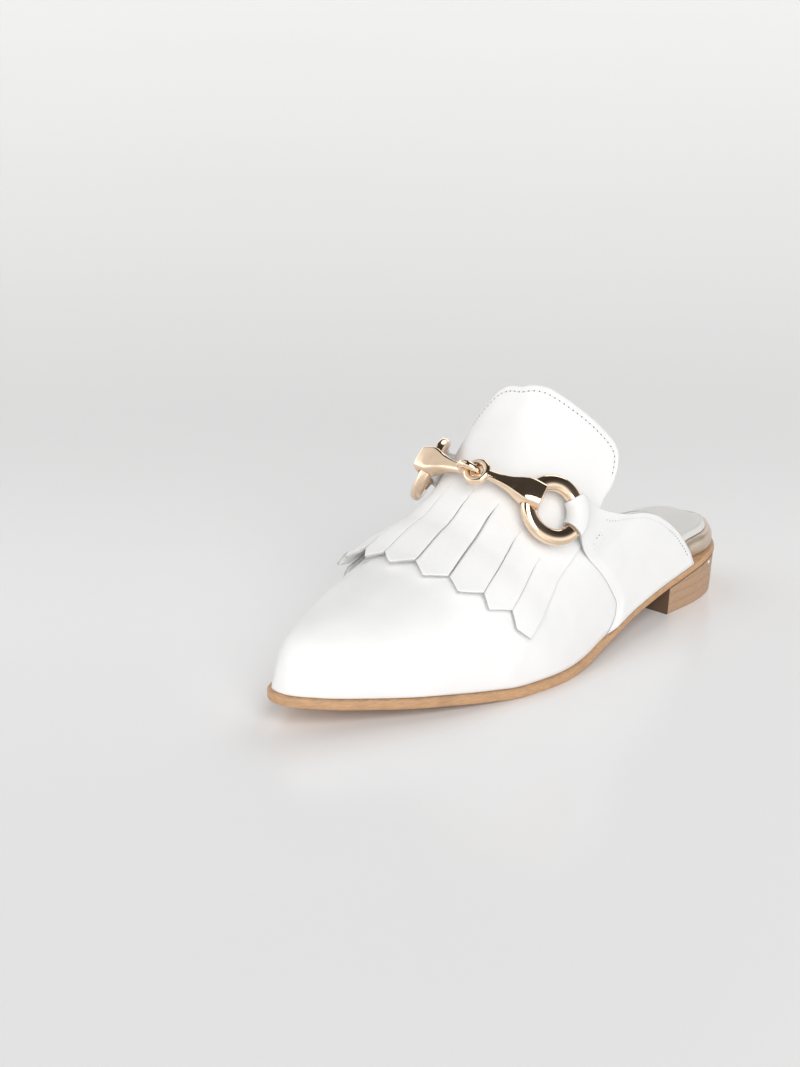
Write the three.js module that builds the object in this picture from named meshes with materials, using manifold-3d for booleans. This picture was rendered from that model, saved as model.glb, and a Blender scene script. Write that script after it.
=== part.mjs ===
// A backless loafer mule, left shoe: pointed toe, fringed tongue, snaffle bit, low stacked heel.
// Millimetres, +Z up, toe towards -Y, outer (lateral) side towards +X.
import * as THREE from "three";
import { mergeVertices } from "three/addons/utils/BufferGeometryUtils.js";
import Module from "manifold-3d";

// Driving sizes of the last and of the sole.
const soleLength = 262;
const ballWidth = 82;
const instepHeight = 69;
const toeSpring = 10.6;
const heelRise = 18.6;
const soleForepart = 4.2;
const soleWaist = 3.3;
const soleEdge = 1.8;
const heelLength = 55;
const heelTaper = 1.6;

// Driving sizes of the leather and of the footbed.
const upperWall = 1.8;
const facing = 1.2;
const footbedHeel = 8;
const footbedToe = 2.4;
const sockThickness = 2.2;
const sockMargin = 3.4;
const stripGap = 0.9;
const tipLift = 1.1;

// Driving sizes of the snaffle bit.
const ringOuter = 30;
const ringRod = 6.8;
const ringFlat = 5.4;
const eyeOuter = 12;
const eyeRod = 3.4;
const barFlare = 12.5;
const barThick = 8.2;
const barRise = 0.9;
const barPast = 4.6;
const strapWidth = 15;

// Clearances.
const gap = 0.3;
const soleGap = 0.45;
const facingGap = 0.55;
const bitGap = 0.35;
const ringLift = 3.3;

// The feather line, where the upper meets the sole: shares of sole length and ball width.
const outline = [
  { along: 0, out: -0.081, inn: -0.091 },
  { along: 0.0012, out: -0.056, inn: -0.116 },
  { along: 0.004, out: -0.033, inn: -0.14 },
  { along: 0.012, out: 0.002, inn: -0.173 },
  { along: 0.038, out: 0.068, inn: -0.235 },
  { along: 0.095, out: 0.18, inn: -0.332 },
  { along: 0.19, out: 0.34, inn: -0.423 },
  { along: 0.286, out: 0.451, inn: -0.47 },
  { along: 0.363, out: 0.512, inn: -0.463 },
  { along: 0.42, out: 0.527, inn: -0.427 },
  { along: 0.496, out: 0.5, inn: -0.36 },
  { along: 0.592, out: 0.427, inn: -0.299 },
  { along: 0.687, out: 0.36, inn: -0.287 },
  { along: 0.782, out: 0.323, inn: -0.305 },
  { along: 0.87, out: 0.305, inn: -0.311 },
  { along: 0.935, out: 0.25, inn: -0.262 },
  { along: 0.977, out: 0.14, inn: -0.159 },
  { along: 0.9975, out: 0.037, inn: -0.061 },
  { along: 1, out: -0.007, inn: -0.017 },
];

// The sole's underside: shares of sole length, toe spring and heel rise; body blends forepart to waist.
const soleProfile = [
  { along: 0, spring: 1, lift: 0, body: 0 },
  { along: 0.02, spring: 0.91, lift: 0, body: 0 },
  { along: 0.06, spring: 0.74, lift: 0, body: 0 },
  { along: 0.115, spring: 0.57, lift: 0, body: 0 },
  { along: 0.165, spring: 0.43, lift: 0, body: 0 },
  { along: 0.22, spring: 0.3, lift: 0, body: 0 },
  { along: 0.3, spring: 0.09, lift: 0, body: 0 },
  { along: 0.345, spring: 0, lift: 0, body: 0 },
  { along: 0.46, spring: 0, lift: 0, body: 0 },
  { along: 0.5, spring: 0, lift: 0.06, body: 0.3 },
  { along: 0.55, spring: 0, lift: 0.19, body: 0.7 },
  { along: 0.61, spring: 0, lift: 0.3, body: 1 },
  { along: 0.69, spring: 0, lift: 0.48, body: 1 },
  { along: 0.79, spring: 0, lift: 0.7, body: 1 },
  { along: 0.87, spring: 0, lift: 0.88, body: 1 },
  { along: 0.93, spring: 0, lift: 0.97, body: 1 },
  { along: 1, spring: 0, lift: 1, body: 1 },
];

// Cross sections of the last from toe to topline. foot and ridge are shares of sole length, rise is a
// share of the instep height over the feather line, middle and bellies are shares of ball width,
// and round is the squareness of the arch on the outer and the inner side.
const sections = [
  { at: 0, foot: 0, ridge: 0.0134, rise: 0.174, middle: -0.086, roundOut: 2.2, roundIn: 2.2, bellyOut: 0, bellyIn: 0 },
  { at: 0.02, foot: 0.0115, ridge: 0.0286, rise: 0.267, middle: -0.09, roundOut: 2.2, roundIn: 2.2, bellyOut: 0, bellyIn: 0 },
  { at: 0.05, foot: 0.0382, ridge: 0.0534, rise: 0.342, middle: -0.1, roundOut: 2.2, roundIn: 2.2, bellyOut: 0.01, bellyIn: 0.014 },
  { at: 0.12, foot: 0.0954, ridge: 0.103, rise: 0.422, middle: -0.114, roundOut: 2.2, roundIn: 2.2, bellyOut: 0.012, bellyIn: 0.03 },
  { at: 0.22, foot: 0.179, ridge: 0.172, rise: 0.513, middle: -0.116, roundOut: 2.2, roundIn: 2.4, bellyOut: 0.018, bellyIn: 0.055 },
  { at: 0.32, foot: 0.267, ridge: 0.237, rise: 0.613, middle: -0.098, roundOut: 2.2, roundIn: 2.7, bellyOut: 0.024, bellyIn: 0.07 },
  { at: 0.42, foot: 0.344, ridge: 0.279, rise: 0.717, middle: -0.079, roundOut: 2.2, roundIn: 3, bellyOut: 0.024, bellyIn: 0.07 },
  { at: 0.52, foot: 0.427, ridge: 0.321, rise: 0.82, middle: -0.067, roundOut: 2.2, roundIn: 3.4, bellyOut: 0.03, bellyIn: 0.07 },
  { at: 0.64, foot: 0.534, ridge: 0.366, rise: 0.903, middle: -0.055, roundOut: 2.3, roundIn: 3.9, bellyOut: 0.037, bellyIn: 0.085 },
  { at: 0.76, foot: 0.637, ridge: 0.416, rise: 1, middle: -0.049, roundOut: 2.4, roundIn: 4.4, bellyOut: 0.073, bellyIn: 0.14 },
  { at: 0.86, foot: 0.725, ridge: 0.458, rise: 1.09, middle: -0.043, roundOut: 2.5, roundIn: 4.7, bellyOut: 0.098, bellyIn: 0.18 },
  { at: 0.94, foot: 0.809, ridge: 0.5, rise: 1.2, middle: -0.037, roundOut: 2.5, roundIn: 4.5, bellyOut: 0.11, bellyIn: 0.19 },
  { at: 1, foot: 0.882, ridge: 0.538, rise: 1.357, middle: -0.037, roundOut: 2.5, roundIn: 3.9, bellyOut: 0.122, bellyIn: 0.18 },
  { at: 1.1, foot: 0.962, ridge: 0.595, rise: 1.65, middle: -0.037, roundOut: 2.5, roundIn: 3.4, bellyOut: 0.171, bellyIn: 0.2 },
];

// The topline from sole (across 0) over lobe and notch to the middle of the tongue (across 0.5):
// how far back the upper reaches, in stations of the sections.
const topline = [
  { across: 0, reach: 0.98 },
  { across: 0.01, reach: 0.987 },
  { across: 0.024, reach: 0.99 },
  { across: 0.04, reach: 0.99 },
  { across: 0.057, reach: 0.986 },
  { across: 0.075, reach: 0.98 },
  { across: 0.093, reach: 0.972 },
  { across: 0.11, reach: 0.961 },
  { across: 0.126, reach: 0.946 },
  { across: 0.141, reach: 0.925 },
  { across: 0.153, reach: 0.907 },
  { across: 0.168, reach: 0.889 },
  { across: 0.183, reach: 0.881 },
  { across: 0.193, reach: 0.886 },
  { across: 0.198, reach: 0.913 },
  { across: 0.201, reach: 0.9435 },
  { across: 0.2095, reach: 0.9685 },
  { across: 0.2235, reach: 0.989 },
  { across: 0.241, reach: 0.999 },
  { across: 0.2625, reach: 1.003 },
  { across: 0.3125, reach: 1.007 },
  { across: 0.4, reach: 1.008 },
  { across: 0.5, reach: 0.997 },
];
// The inner half of the tongue's arch lies this many stations lower than the outer half.
const innerDrop = 0.065;

// The front seam of a quarter, from the sole up to its strap.
const seam = [
  { across: 0, at: 0.695 },
  { across: 0.003, at: 0.716 },
  { across: 0.011, at: 0.75 },
  { across: 0.03, at: 0.7755 },
  { across: 0.084, at: 0.781 },
  { across: 0.15, at: 0.773 },
  { across: 0.2, at: 0.775 },
];

// The fringe, from its outer edge to the middle strip: where each slit starts and ends, and the
// tip of the strip between this slit and the next one. across and at as on the sections.
const slits = [
  { topAcross: 0.168, topAt: 0.66, endAcross: 0.112, endAt: 0.474, tipAcross: 0.15, tipAt: 0.455 },
  { topAcross: 0.233, topAt: 0.66, endAcross: 0.194, endAt: 0.474, tipAcross: 0.226, tipAt: 0.422 },
  { topAcross: 0.303, topAt: 0.688, endAcross: 0.267, endAt: 0.441, tipAcross: 0.306, tipAt: 0.388 },
  { topAcross: 0.385, topAt: 0.725, endAcross: 0.357, endAt: 0.412, tipAcross: 0.4, tipAt: 0.358 },
  { topAcross: 0.468, topAt: 0.736, endAcross: 0.453, endAt: 0.393, tipAcross: 0.5, tipAt: 0.346 },
];

// Half the tongue's top edge, one row for each half strip from its outer edge to the middle.
const tongueTop = [0.222, 0.245, 0.28, 0.31, 0.345, 0.38, 0.41, 0.44, 0.47, 0.5];

// A bar of the bit from its eye to its flared end: shares of its length, width and thickness.
const barShape = [
  { along: 0, wide: 0.32, thick: 0.36 },
  { along: 0.16, wide: 0.36, thick: 0.42 },
  { along: 0.4, wide: 0.5, thick: 0.62 },
  { along: 0.6, wide: 0.78, thick: 0.9 },
  { along: 0.78, wide: 1, thick: 1 },
  { along: 1, wide: 0.96, thick: 0.94 },
];

// Mesh density.
const upperRows = 22;
const tongueRows = 13;
const stripRows = 6;
const quarterRows = 7;
const soleRows = 34;
const ringSteps = 28;
const rodSteps = 10;
const barRows = 8;
const barSides = 10;
const eyeSteps = 16;
const strapSteps = 6;

const wasm = await Module();
wasm.setup();

// A smooth curve through one column of a table, without overshoot.
function curve(table, key, column) {
  const x = table.map((row) => row[key]);
  const y = table.map((row) => row[column]);
  const step = x.slice(1).map((value, i) => value - x[i]);
  const rise = step.map((length, i) => (y[i + 1] - y[i]) / length);
  const slope = y.map((value, i) => {
    if (i === 0) return rise[0];
    if (i === y.length - 1) return rise[i - 1];
    if (rise[i - 1] * rise[i] <= 0) return 0;
    const before = 2 * step[i] + step[i - 1];
    const after = step[i] + 2 * step[i - 1];
    return (before + after) / (before / rise[i - 1] + after / rise[i]);
  });
  return (at) => {
    let i = 0;
    while (i < x.length - 2 && at > x[i + 1]) i += 1;
    const t = (at - x[i]) / step[i];
    const s = 1 - t;
    return (
      y[i] * s * s * (1 + 2 * t) +
      y[i + 1] * t * t * (3 - 2 * t) +
      step[i] * t * s * (slope[i] * s - slope[i + 1] * t)
    );
  };
}

const mix = (a, b, t) => a + (b - a) * t;
const ramp = (from, to, at) => THREE.MathUtils.smoothstep(at, from, to);

const outOf = curve(outline, "along", "out");
const innOf = curve(outline, "along", "inn");
const springOf = curve(soleProfile, "along", "spring");
const liftOf = curve(soleProfile, "along", "lift");
const bodyOf = curve(soleProfile, "along", "body");
const section = Object.fromEntries(
  Object.keys(sections[0]).map((name) => [name, curve(sections, "at", name)]),
);
const reachOf = curve(topline, "across", "reach");
const dropAt = (across) => innerDrop * ramp(0.465, 0.72, across) * (1 - ramp(0.79, 0.806, across));
const topReach = (across) => reachOf(Math.min(across, 1 - across)) - dropAt(across);
const seamOf = curve(seam, "across", "at");

// Heights of the sole at a share of its length.
const soleUnder = (along) => toeSpring * springOf(along) + heelRise * liftOf(along);
const soleTop = (along) => soleUnder(along) + mix(soleForepart, soleWaist, bodyOf(along));

// A point of the last. across runs from the outer feather line (0) over the ridge (0.5) to the inner.
function lastPoint(at, across) {
  const angle = Math.PI * across;
  const outer = Math.cos(angle) >= 0;
  const squareness = outer ? section.roundOut(at) : section.roundIn(at);
  const spread = Math.abs(Math.cos(angle)) ** (2 / squareness);
  const height = Math.abs(Math.sin(angle)) ** (2 / squareness);
  const foot = section.foot(at);
  const middle = section.middle(at);
  const half = outer ? outOf(foot) - middle : innOf(foot) - middle;
  const belly = outer ? section.bellyOut(at) : -section.bellyIn(at);
  const bulge = 6.75 * height * height * (1 - height);
  return new THREE.Vector3(
    ballWidth * (middle + (half + belly * bulge) * spread),
    soleLength * mix(foot, section.ridge(at), height),
    soleTop(foot) + soleGap + instepHeight * section.rise(at) * height,
  );
}

// A point off the last, along its outward normal.
function overLast(at, across, off) {
  const step = 0.002;
  const ahead = lastPoint(at + step, across).sub(lastPoint(Math.max(at - step, 0), across));
  const over = lastPoint(at, Math.min(across + step, 1)).sub(lastPoint(at, Math.max(across - step, 0)));
  return lastPoint(at, across).addScaledVector(ahead.cross(over).normalize(), off);
}

function lastNormal(at, across) {
  return overLast(at, across, 1).sub(lastPoint(at, across)).normalize();
}

function geometryOf(points, index) {
  const geometry = new THREE.BufferGeometry();
  geometry.setAttribute("position", new THREE.Float32BufferAttribute(points.flatMap((p) => p.toArray()), 3));
  geometry.setIndex(index);
  return geometry;
}

// A closed sheet: its outer face, its inner face turned round, and a rim along every free edge.
function sheet(faces, outer, inner) {
  const index = [];
  const free = new Map();
  for (const face of faces) {
    for (let i = 1; i < face.length - 1; i += 1) {
      index.push(face[0], face[i], face[i + 1]);
      index.push(face[0] + outer.length, face[i + 1] + outer.length, face[i] + outer.length);
    }
    face.forEach((from, i) => {
      const to = face[(i + 1) % face.length];
      if (!free.delete(to + " " + from)) free.set(from + " " + to, [from, to]);
    });
  }
  for (const [from, to] of free.values()) {
    index.push(to, from, from + outer.length, to, from + outer.length, to + outer.length);
  }
  return geometryOf([...outer, ...inner], index);
}

// The faces of a grid whose points are numbered row by row.
function gridFaces(rows, columns, flip) {
  const faces = [];
  for (let r = 0; r < rows - 1; r += 1) {
    for (let c = 0; c < columns - 1; c += 1) {
      const here = r * columns + c;
      const face = [here, here + columns, here + columns + 1, here + 1];
      faces.push(flip ? face.reverse() : face);
    }
  }
  return faces;
}

// A solid through a row of closed rings of as many points each, with flat ends.
function loft(rings) {
  const count = rings[0].length;
  const index = [];
  for (let r = 0; r < rings.length - 1; r += 1) {
    for (let c = 0; c < count; c += 1) {
      const here = r * count + c;
      const next = r * count + ((c + 1) % count);
      index.push(here, next, next + count, here, next + count, here + count);
    }
  }
  const last = (rings.length - 1) * count;
  for (let c = 1; c < count - 1; c += 1) {
    index.push(0, c + 1, c, last, last + c, last + c + 1);
  }
  return geometryOf(rings.flat(), index);
}

// Closed solids and back again, for joining and cutting.
function solidOf(geometry) {
  const bare = new THREE.BufferGeometry();
  bare.setAttribute("position", geometry.getAttribute("position"));
  bare.setIndex(geometry.index);
  const merged = mergeVertices(bare, 1e-4);
  return new wasm.Manifold(
    new wasm.Mesh({
      numProp: 3,
      vertProperties: merged.attributes.position.array,
      triVerts: new Uint32Array(merged.index.array),
    }),
  );
}

function geometryFrom(solid) {
  const mesh = solid.getMesh();
  const geometry = new THREE.BufferGeometry();
  geometry.setAttribute("position", new THREE.BufferAttribute(mesh.vertProperties, 3));
  geometry.setIndex(new THREE.BufferAttribute(mesh.triVerts, 1));
  return geometry;
}

// A point of the shoe's plan outline, pushed out by a margin. turn runs from toe (0) to heel (1).
function planPoint(turn, side, margin) {
  const at = (t) => {
    const along = (1 - Math.cos(Math.PI * t)) / 2;
    const x = side > 0 ? outOf(along) : innOf(along);
    return new THREE.Vector2(ballWidth * x, soleLength * along);
  };
  const step = 0.004;
  const way = at(Math.min(turn + step, 1)).sub(at(Math.max(turn - step, 0))).normalize();
  return at(turn).add(new THREE.Vector2(way.y, -way.x).multiplyScalar(side * margin));
}

// Where a share of the length lies in the plan outline's own turn.
const turnOf = (along) => Math.acos(1 - 2 * along) / Math.PI;

// A layer that follows the plan outline: edge lists the side's profile from top to bottom,
// each as a margin and a height at a share of the length.
function layer(from, to, rows, edge) {
  const rings = [];
  for (let r = 0; r <= rows; r += 1) {
    const turn = mix(turnOf(from), turnOf(to), r / rows);
    const sides = [1, -1].map((side) =>
      edge.map(({ margin, height }) => {
        const rim = planPoint(turn, side, 0);
        const along = THREE.MathUtils.clamp(rim.y / soleLength, 0, 1);
        const point = planPoint(turn, side, margin(along));
        return new THREE.Vector3(point.x, point.y, height(along));
      }),
    );
    rings.push([...sides[1].reverse(), ...sides[0]]);
  }
  return loft(rings);
}

function upper() {
  const half = topline.map((row) => row.across);
  const columns = [...half, ...half.slice(0, -1).map((value) => 1 - value).reverse()];
  const outer = [];
  const inner = [];
  const id = [];
  for (let r = 0; r <= upperRows; r += 1) {
    const t = (r / upperRows) ** 1.25;
    id.push([]);
    columns.forEach((across, c) => {
      const mirrored = columns.length - 1 - c;
      if (r === 0 && c > mirrored) {
        id[0].push(id[0][mirrored]);
        return;
      }
      const reach = topReach(across);
      const at = t + (reach - 1) * t ** 4;
      id[r].push(outer.length);
      const side = (off) => overLast(at, across, off);
      const seamPoint = (off) => side(off).add(overLast(at, 1 - across, off)).multiplyScalar(0.5);
      const place = r === 0 ? seamPoint : side;
      outer.push(place(0));
      inner.push(place(-upperWall));
    });
  }
  const faces = [];
  for (let r = 0; r < upperRows; r += 1) {
    for (let c = 0; c < columns.length - 1; c += 1) {
      faces.push([id[r][c], id[r + 1][c], id[r + 1][c + 1], id[r][c + 1]]);
    }
  }
  return sheet(faces, outer, inner);
}

// The tongue's facing from its rounded top edge to the roots of the slits, and the nine strips.
function tongue() {
  const outer = [];
  const inner = [];
  const faces = [];
  const put = (at, across, lift) => {
    outer.push(overLast(at, across, lift + facingGap + facing));
    inner.push(overLast(at, across, lift + facingGap));
    return outer.length - 1;
  };
  const mirror = (row) => ({ ...row, topAcross: 1 - row.topAcross, endAcross: 1 - row.endAcross });
  const edges = [...slits, ...slits.map(mirror).reverse()];
  const tips = slits.map(({ tipAcross, tipAt }) => ({ tipAcross, tipAt }));
  const otherTips = tips.slice(0, -1).map(({ tipAcross, tipAt }) => ({ tipAcross: 1 - tipAcross, tipAt }));
  const strips = [...tips, ...otherTips.reverse()];
  const roots = edges.flatMap((edge, i) => {
    if (i === edges.length - 1) return [edge];
    const next = edges[i + 1];
    const between = { topAcross: (edge.topAcross + next.topAcross) / 2, topAt: (edge.topAt + next.topAt) / 2 };
    return [edge, between];
  });
  const tops = [...tongueTop, ...tongueTop.slice(0, -1).map((value) => 1 - value).reverse()];
  const block = roots.map((root, c) => {
    const column = [];
    const top = tops[c];
    const notch = Math.min(root.topAcross, 0.5 - Math.abs(0.5 - root.topAcross));
    const hug = Math.min(top, 1 - top);
    const reach = topReach(top);
    for (let r = 0; r <= tongueRows; r += 1) {
      const t = r / tongueRows;
      const at = mix(root.topAt, reach, t);
      const inside = mix(notch, hug, ramp(0.3, 1, t));
      const outerEdge = c === 0 ? toplineAcross(at) : 0;
      const innerEdge = c === roots.length - 1 ? toplineAcross(at + innerDrop * ramp(0.886, 0.91, at)) : 0;
      const across = Math.max(inside, outerEdge, innerEdge);
      column.push(put(at, root.topAcross > 0.5 ? 1 - across : across, 0));
    }
    return column;
  });
  for (let c = 0; c < roots.length - 1; c += 1) {
    for (let r = 0; r < tongueRows; r += 1) {
      faces.push([block[c][r], block[c][r + 1], block[c + 1][r + 1], block[c + 1][r]]);
    }
  }
  strips.forEach((strip, i) => {
    const left = edges[i];
    const right = edges[i + 1];
    const space = stripGap / ballWidth / 4;
    let above = [block[2 * i][0], block[2 * i + 1][0], block[2 * i + 2][0]];
    const middleTop = roots[2 * i + 1];
    for (let r = 1; r <= stripRows; r += 1) {
      const t = r / stripRows;
      const lift = tipLift * t * t;
      const row = [
        put(mix(left.topAt, left.endAt, t), mix(left.topAcross, left.endAcross + space, t), lift),
        put(mix(middleTop.topAt, strip.tipAt, t), mix(middleTop.topAcross, strip.tipAcross, t), lift),
        put(mix(right.topAt, right.endAt, t), mix(right.topAcross, right.endAcross - space, t), lift),
      ];
      faces.push([row[0], above[0], above[1], row[1]], [row[1], above[1], above[2], row[2]]);
      above = row;
    }
  });
  return sheet(faces, outer, inner);
}

// The topline's place on the tongue's side edge at a station above the notch.
function toplineAcross(at) {
  const side = topline.filter((row) => row.across > 0.18 && row.across < 0.23);
  const i = side.findIndex((row) => row.reach >= at);
  if (i <= 0) return i < 0 ? side[side.length - 1].across : side[0].across - 0.02 * ramp(0, 0.12, side[0].reach - at);
  const t = (at - side[i - 1].reach) / (side[i].reach - side[i - 1].reach);
  return mix(side[i - 1].across, side[i].across, t);
}

// The forepart's tread, the arch and the heel seat in one sole, with slightly rounded edges.
function outsole() {
  const under = (along) => soleUnder(along);
  return layer(0, 1, soleRows, [
    { margin: () => soleEdge - 0.3, height: (along) => soleTop(along) },
    { margin: () => soleEdge, height: (along) => soleTop(along) - 0.4 },
    { margin: () => soleEdge, height: (along) => under(along) + 1 },
    { margin: () => soleEdge - 0.7, height: under },
  ]);
}

function heel() {
  const front = 1 - heelLength / soleLength;
  const rows = 16;
  const top = (along) => soleUnder(along) - gap;
  const rings = [];
  for (let r = 0; r <= rows; r += 1) {
    const turn = mix(turnOf(front), 1, r / rows);
    const corner = (side, margin, height) => {
      const rim = planPoint(turn, side, margin);
      const straight = Math.max(rim.y, soleLength * front);
      return new THREE.Vector3(rim.x, straight, height(THREE.MathUtils.clamp(rim.y / soleLength, 0, 1)));
    };
    const low = soleEdge - heelTaper;
    rings.push([
      corner(-1, low, () => 0),
      corner(-1, soleEdge - 0.3, top),
      corner(1, soleEdge - 0.3, top),
      corner(1, low, () => 0),
    ]);
  }
  return loft(rings);
}

// How far the footbed's side stands inside the feather line: inside the upper, then flush behind it.
const footbedInset = (along) => mix(-(upperWall + 2 * gap), 0.5, ramp(0.875, 0.9, along));
const footbedTop = (along) => soleTop(along) + gap + mix(footbedToe, footbedHeel, ramp(0.35, 0.92, along));

function footbed() {
  const low = (along) => soleTop(along) + gap;
  return layer(0.03, 1, soleRows, [
    { margin: (along) => footbedInset(along) - 2.2, height: footbedTop },
    { margin: (along) => footbedInset(along) - 0.7, height: (along) => footbedTop(along) - 0.6 },
    { margin: footbedInset, height: (along) => mix(low(along), footbedTop(along), 0.55) },
    { margin: footbedInset, height: low },
  ]);
}

function sock() {
  const low = (along) => footbedTop(along) + gap;
  const inset = (along) => footbedInset(along) - mix(0.8, sockMargin, ramp(0.8, 0.93, along));
  return layer(0.045, 0.985, soleRows, [
    { margin: (along) => inset(along) - 4, height: (along) => low(along) + sockThickness - 0.3 },
    { margin: (along) => inset(along) - 1.2, height: (along) => low(along) + sockThickness },
    { margin: inset, height: (along) => low(along) + sockThickness * 0.6 },
    { margin: inset, height: low },
  ]);
}

// The bit lies on the instep: its middle link, and a ring on either side over a patch of the last.
const link = { at: 0.757, across: 0.472, off: 8.8 };
const ringSeat = { at: 0.775, across: 0.277, halfAt: 0.07, halfAcross: 0.05 };
const strapEnd = { from: 0.79, to: 0.872, across: 0.2 };
const ringRadius = (ringOuter - ringRod) / 2;
const eyeRadius = (eyeOuter - eyeRod) / 2;

// The plane that a ring rests in: its four sides stand over four points of the tongue.
function ringFrame(side) {
  const turnSide = (across) => (side > 0 ? across : 1 - across);
  const skin = (at, across) => overLast(ringSeat.at + at, turnSide(ringSeat.across + across), facingGap + facing);
  const low = skin(-ringSeat.halfAt, 0);
  const high = skin(ringSeat.halfAt, 0);
  const outer = skin(0, -ringSeat.halfAcross);
  const inner = skin(0, ringSeat.halfAcross);
  const normal = high.clone().sub(low).cross(inner.clone().sub(outer)).multiplyScalar(side).normalize();
  const centre = low.add(high).multiplyScalar(0.5).addScaledVector(normal, ringFlat / 2 + ringLift);
  const strapAt = (strapEnd.from + strapEnd.to) / 2;
  const towards = overLast(strapAt, turnSide(strapEnd.across), 5).sub(centre);
  const out = towards.addScaledVector(normal, -towards.dot(normal)).normalize();
  const along = new THREE.Vector3().crossVectors(normal, out);
  return { centre, normal, out, along, turnSide };
}

// A point of a ring's rod: turn goes round the ring from the strap, lean goes round the rod.
function rodPoint(frame, radius, turn, lean, wide, thick) {
  const spoke = frame.out.clone().multiplyScalar(Math.cos(turn)).addScaledVector(frame.along, Math.sin(turn));
  return frame.centre
    .clone()
    .addScaledVector(spoke, radius + wide * Math.cos(lean))
    .addScaledVector(frame.normal, thick * Math.sin(lean));
}

// A closed ring of an oval rod.
function ringSolid(frame, radius, wide, thick, steps, sides) {
  const points = [];
  const index = [];
  for (let i = 0; i < steps; i += 1) {
    for (let j = 0; j < sides; j += 1) {
      points.push(rodPoint(frame, radius, (2 * Math.PI * i) / steps, (2 * Math.PI * j) / sides, wide, thick));
      const here = i * sides + j;
      const up = i * sides + ((j + 1) % sides);
      const next = (here + sides) % (steps * sides);
      const nextUp = (up + sides) % (steps * sides);
      index.push(here, next, nextUp, here, nextUp, up);
    }
  }
  const inside = frame.along.dot(new THREE.Vector3().crossVectors(frame.normal, frame.out)) < 0;
  return geometryOf(points, inside ? index.reverse() : index);
}

function ring(side, room = 0) {
  return ringSolid(ringFrame(side), ringRadius, ringRod / 2 + room, ringFlat / 2 + room, ringSteps, rodSteps);
}

// A bar runs from its eye at the middle link to its flared end, which the ring passes through.
// The outer eye lies flat and the inner one stands through it.
function bar(side) {
  const frame = ringFrame(side);
  const middle = overLast(link.at, link.across, link.off);
  const eyeCentre = middle.clone().add(new THREE.Vector3((side * eyeRadius) / 2, 0, 0));
  const lying = lastNormal(link.at, link.across);
  const standing = new THREE.Vector3(1, 0, 0).cross(lying);
  const eyeNormal = side > 0 ? lying : standing;
  const towards = middle.clone().sub(frame.centre);
  const flat = towards.clone().addScaledVector(frame.normal, -towards.dot(frame.normal)).normalize();
  const grip = frame.centre.clone().addScaledVector(flat, ringRadius).addScaledVector(frame.normal, barRise);
  const reach = grip.clone().sub(eyeCentre);
  const out = reach.addScaledVector(eyeNormal, -reach.dot(eyeNormal)).normalize();
  const start = eyeCentre.clone().addScaledVector(out, eyeRadius);
  const axis = grip.clone().sub(start).normalize();
  const finish = grip.clone().addScaledVector(axis, barPast);
  const up = frame.normal.clone().addScaledVector(axis, -frame.normal.dot(axis)).normalize();
  const across = new THREE.Vector3().crossVectors(up, axis);
  const width = curve(barShape, "along", "wide");
  const depth = curve(barShape, "along", "thick");
  const round = (value) => Math.sign(value) * Math.abs(value) ** 0.6;
  const rings = [];
  for (let r = 0; r <= barRows; r += 1) {
    const share = r / barRows;
    const centre = start.clone().lerp(finish, share);
    const loop = [];
    for (let k = 0; k < barSides; k += 1) {
      const angle = (2 * Math.PI * k) / barSides;
      const wide = (barFlare / 2) * width(share) * round(Math.cos(angle));
      const thick = (barThick / 2) * depth(share) * round(Math.sin(angle));
      loop.push(centre.clone().addScaledVector(across, wide).addScaledVector(up, thick));
    }
    rings.push(loop);
  }
  const eyeFrame = { centre: eyeCentre, normal: eyeNormal, out, along: out.clone().cross(eyeNormal).negate() };
  const eye = ringSolid(eyeFrame, eyeRadius, eyeRod / 2, eyeRod / 2, eyeSteps, rodSteps);
  return geometryFrom(solidOf(loft(rings)).add(solidOf(eye)).subtract(solidOf(ring(side, bitGap))));
}

// The strap runs from the quarter over the ring's rod, through the ring and back under it.
function strap(side) {
  const frame = ringFrame(side);
  const outer = [];
  const inner = [];
  const spread = strapWidth / ringRadius / 2;
  const columns = strapSteps + 1;
  const roll = [1.15, 1.5, 1.9, 2.4, 2.9, 3.4, 3.9, 4.4, 4.9];
  const approach = [0, 0.35, 0.7];
  const rows = approach.length + roll.length;
  const rod = (turn, lean, off) => rodPoint(frame, ringRadius, turn, lean, ringRod / 2 + off, ringFlat / 2 + off);
  for (let r = 0; r < rows; r += 1) {
    for (let c = 0; c < columns; c += 1) {
      const share = c / strapSteps;
      const turn = side * mix(-spread, spread, share);
      const skins = [bitGap + facing, bitGap].map((off, face) => {
        if (r >= approach.length) return rod(turn, roll[r - approach.length], off);
        const at = mix(strapEnd.from, strapEnd.to, share);
        const low = overLast(at, frame.turnSide(0.165), 2 * facingGap + facing + (face ? 0.15 : facing - 0.15));
        const high = rod(turn, roll[0] - 0.35, off);
        return low.lerp(high, approach[r]);
      });
      outer.push(skins[0]);
      inner.push(skins[1]);
    }
  }
  return sheet(gridFaces(rows, columns, side > 0), outer, inner);
}

function quarter(side) {
  const turnSide = (across) => (side > 0 ? across : 1 - across);
  const columns = topline.map((row) => row.across).filter((across) => across < 0.185);
  columns.push(0.192, strapEnd.across);
  const outer = [];
  const inner = [];
  for (let r = 0; r <= quarterRows; r += 1) {
    const t = r / quarterRows;
    for (const across of columns) {
      const back = mix(reachOf(Math.min(across, 0.184)), strapEnd.to, ramp(0.184, strapEnd.across, across));
      const at = mix(seamOf(across), back, t);
      const lift = facingGap + (facingGap + facing) * ramp(0.12, 0.165, across);
      outer.push(overLast(at, turnSide(across), lift + facing));
      inner.push(overLast(at, turnSide(across), lift));
    }
  }
  const body = sheet(gridFaces(quarterRows + 1, columns.length, side < 0), outer, inner);
  return geometryFrom(solidOf(body).add(solidOf(strap(side))).subtract(solidOf(ring(side, bitGap / 2))));
}

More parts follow.
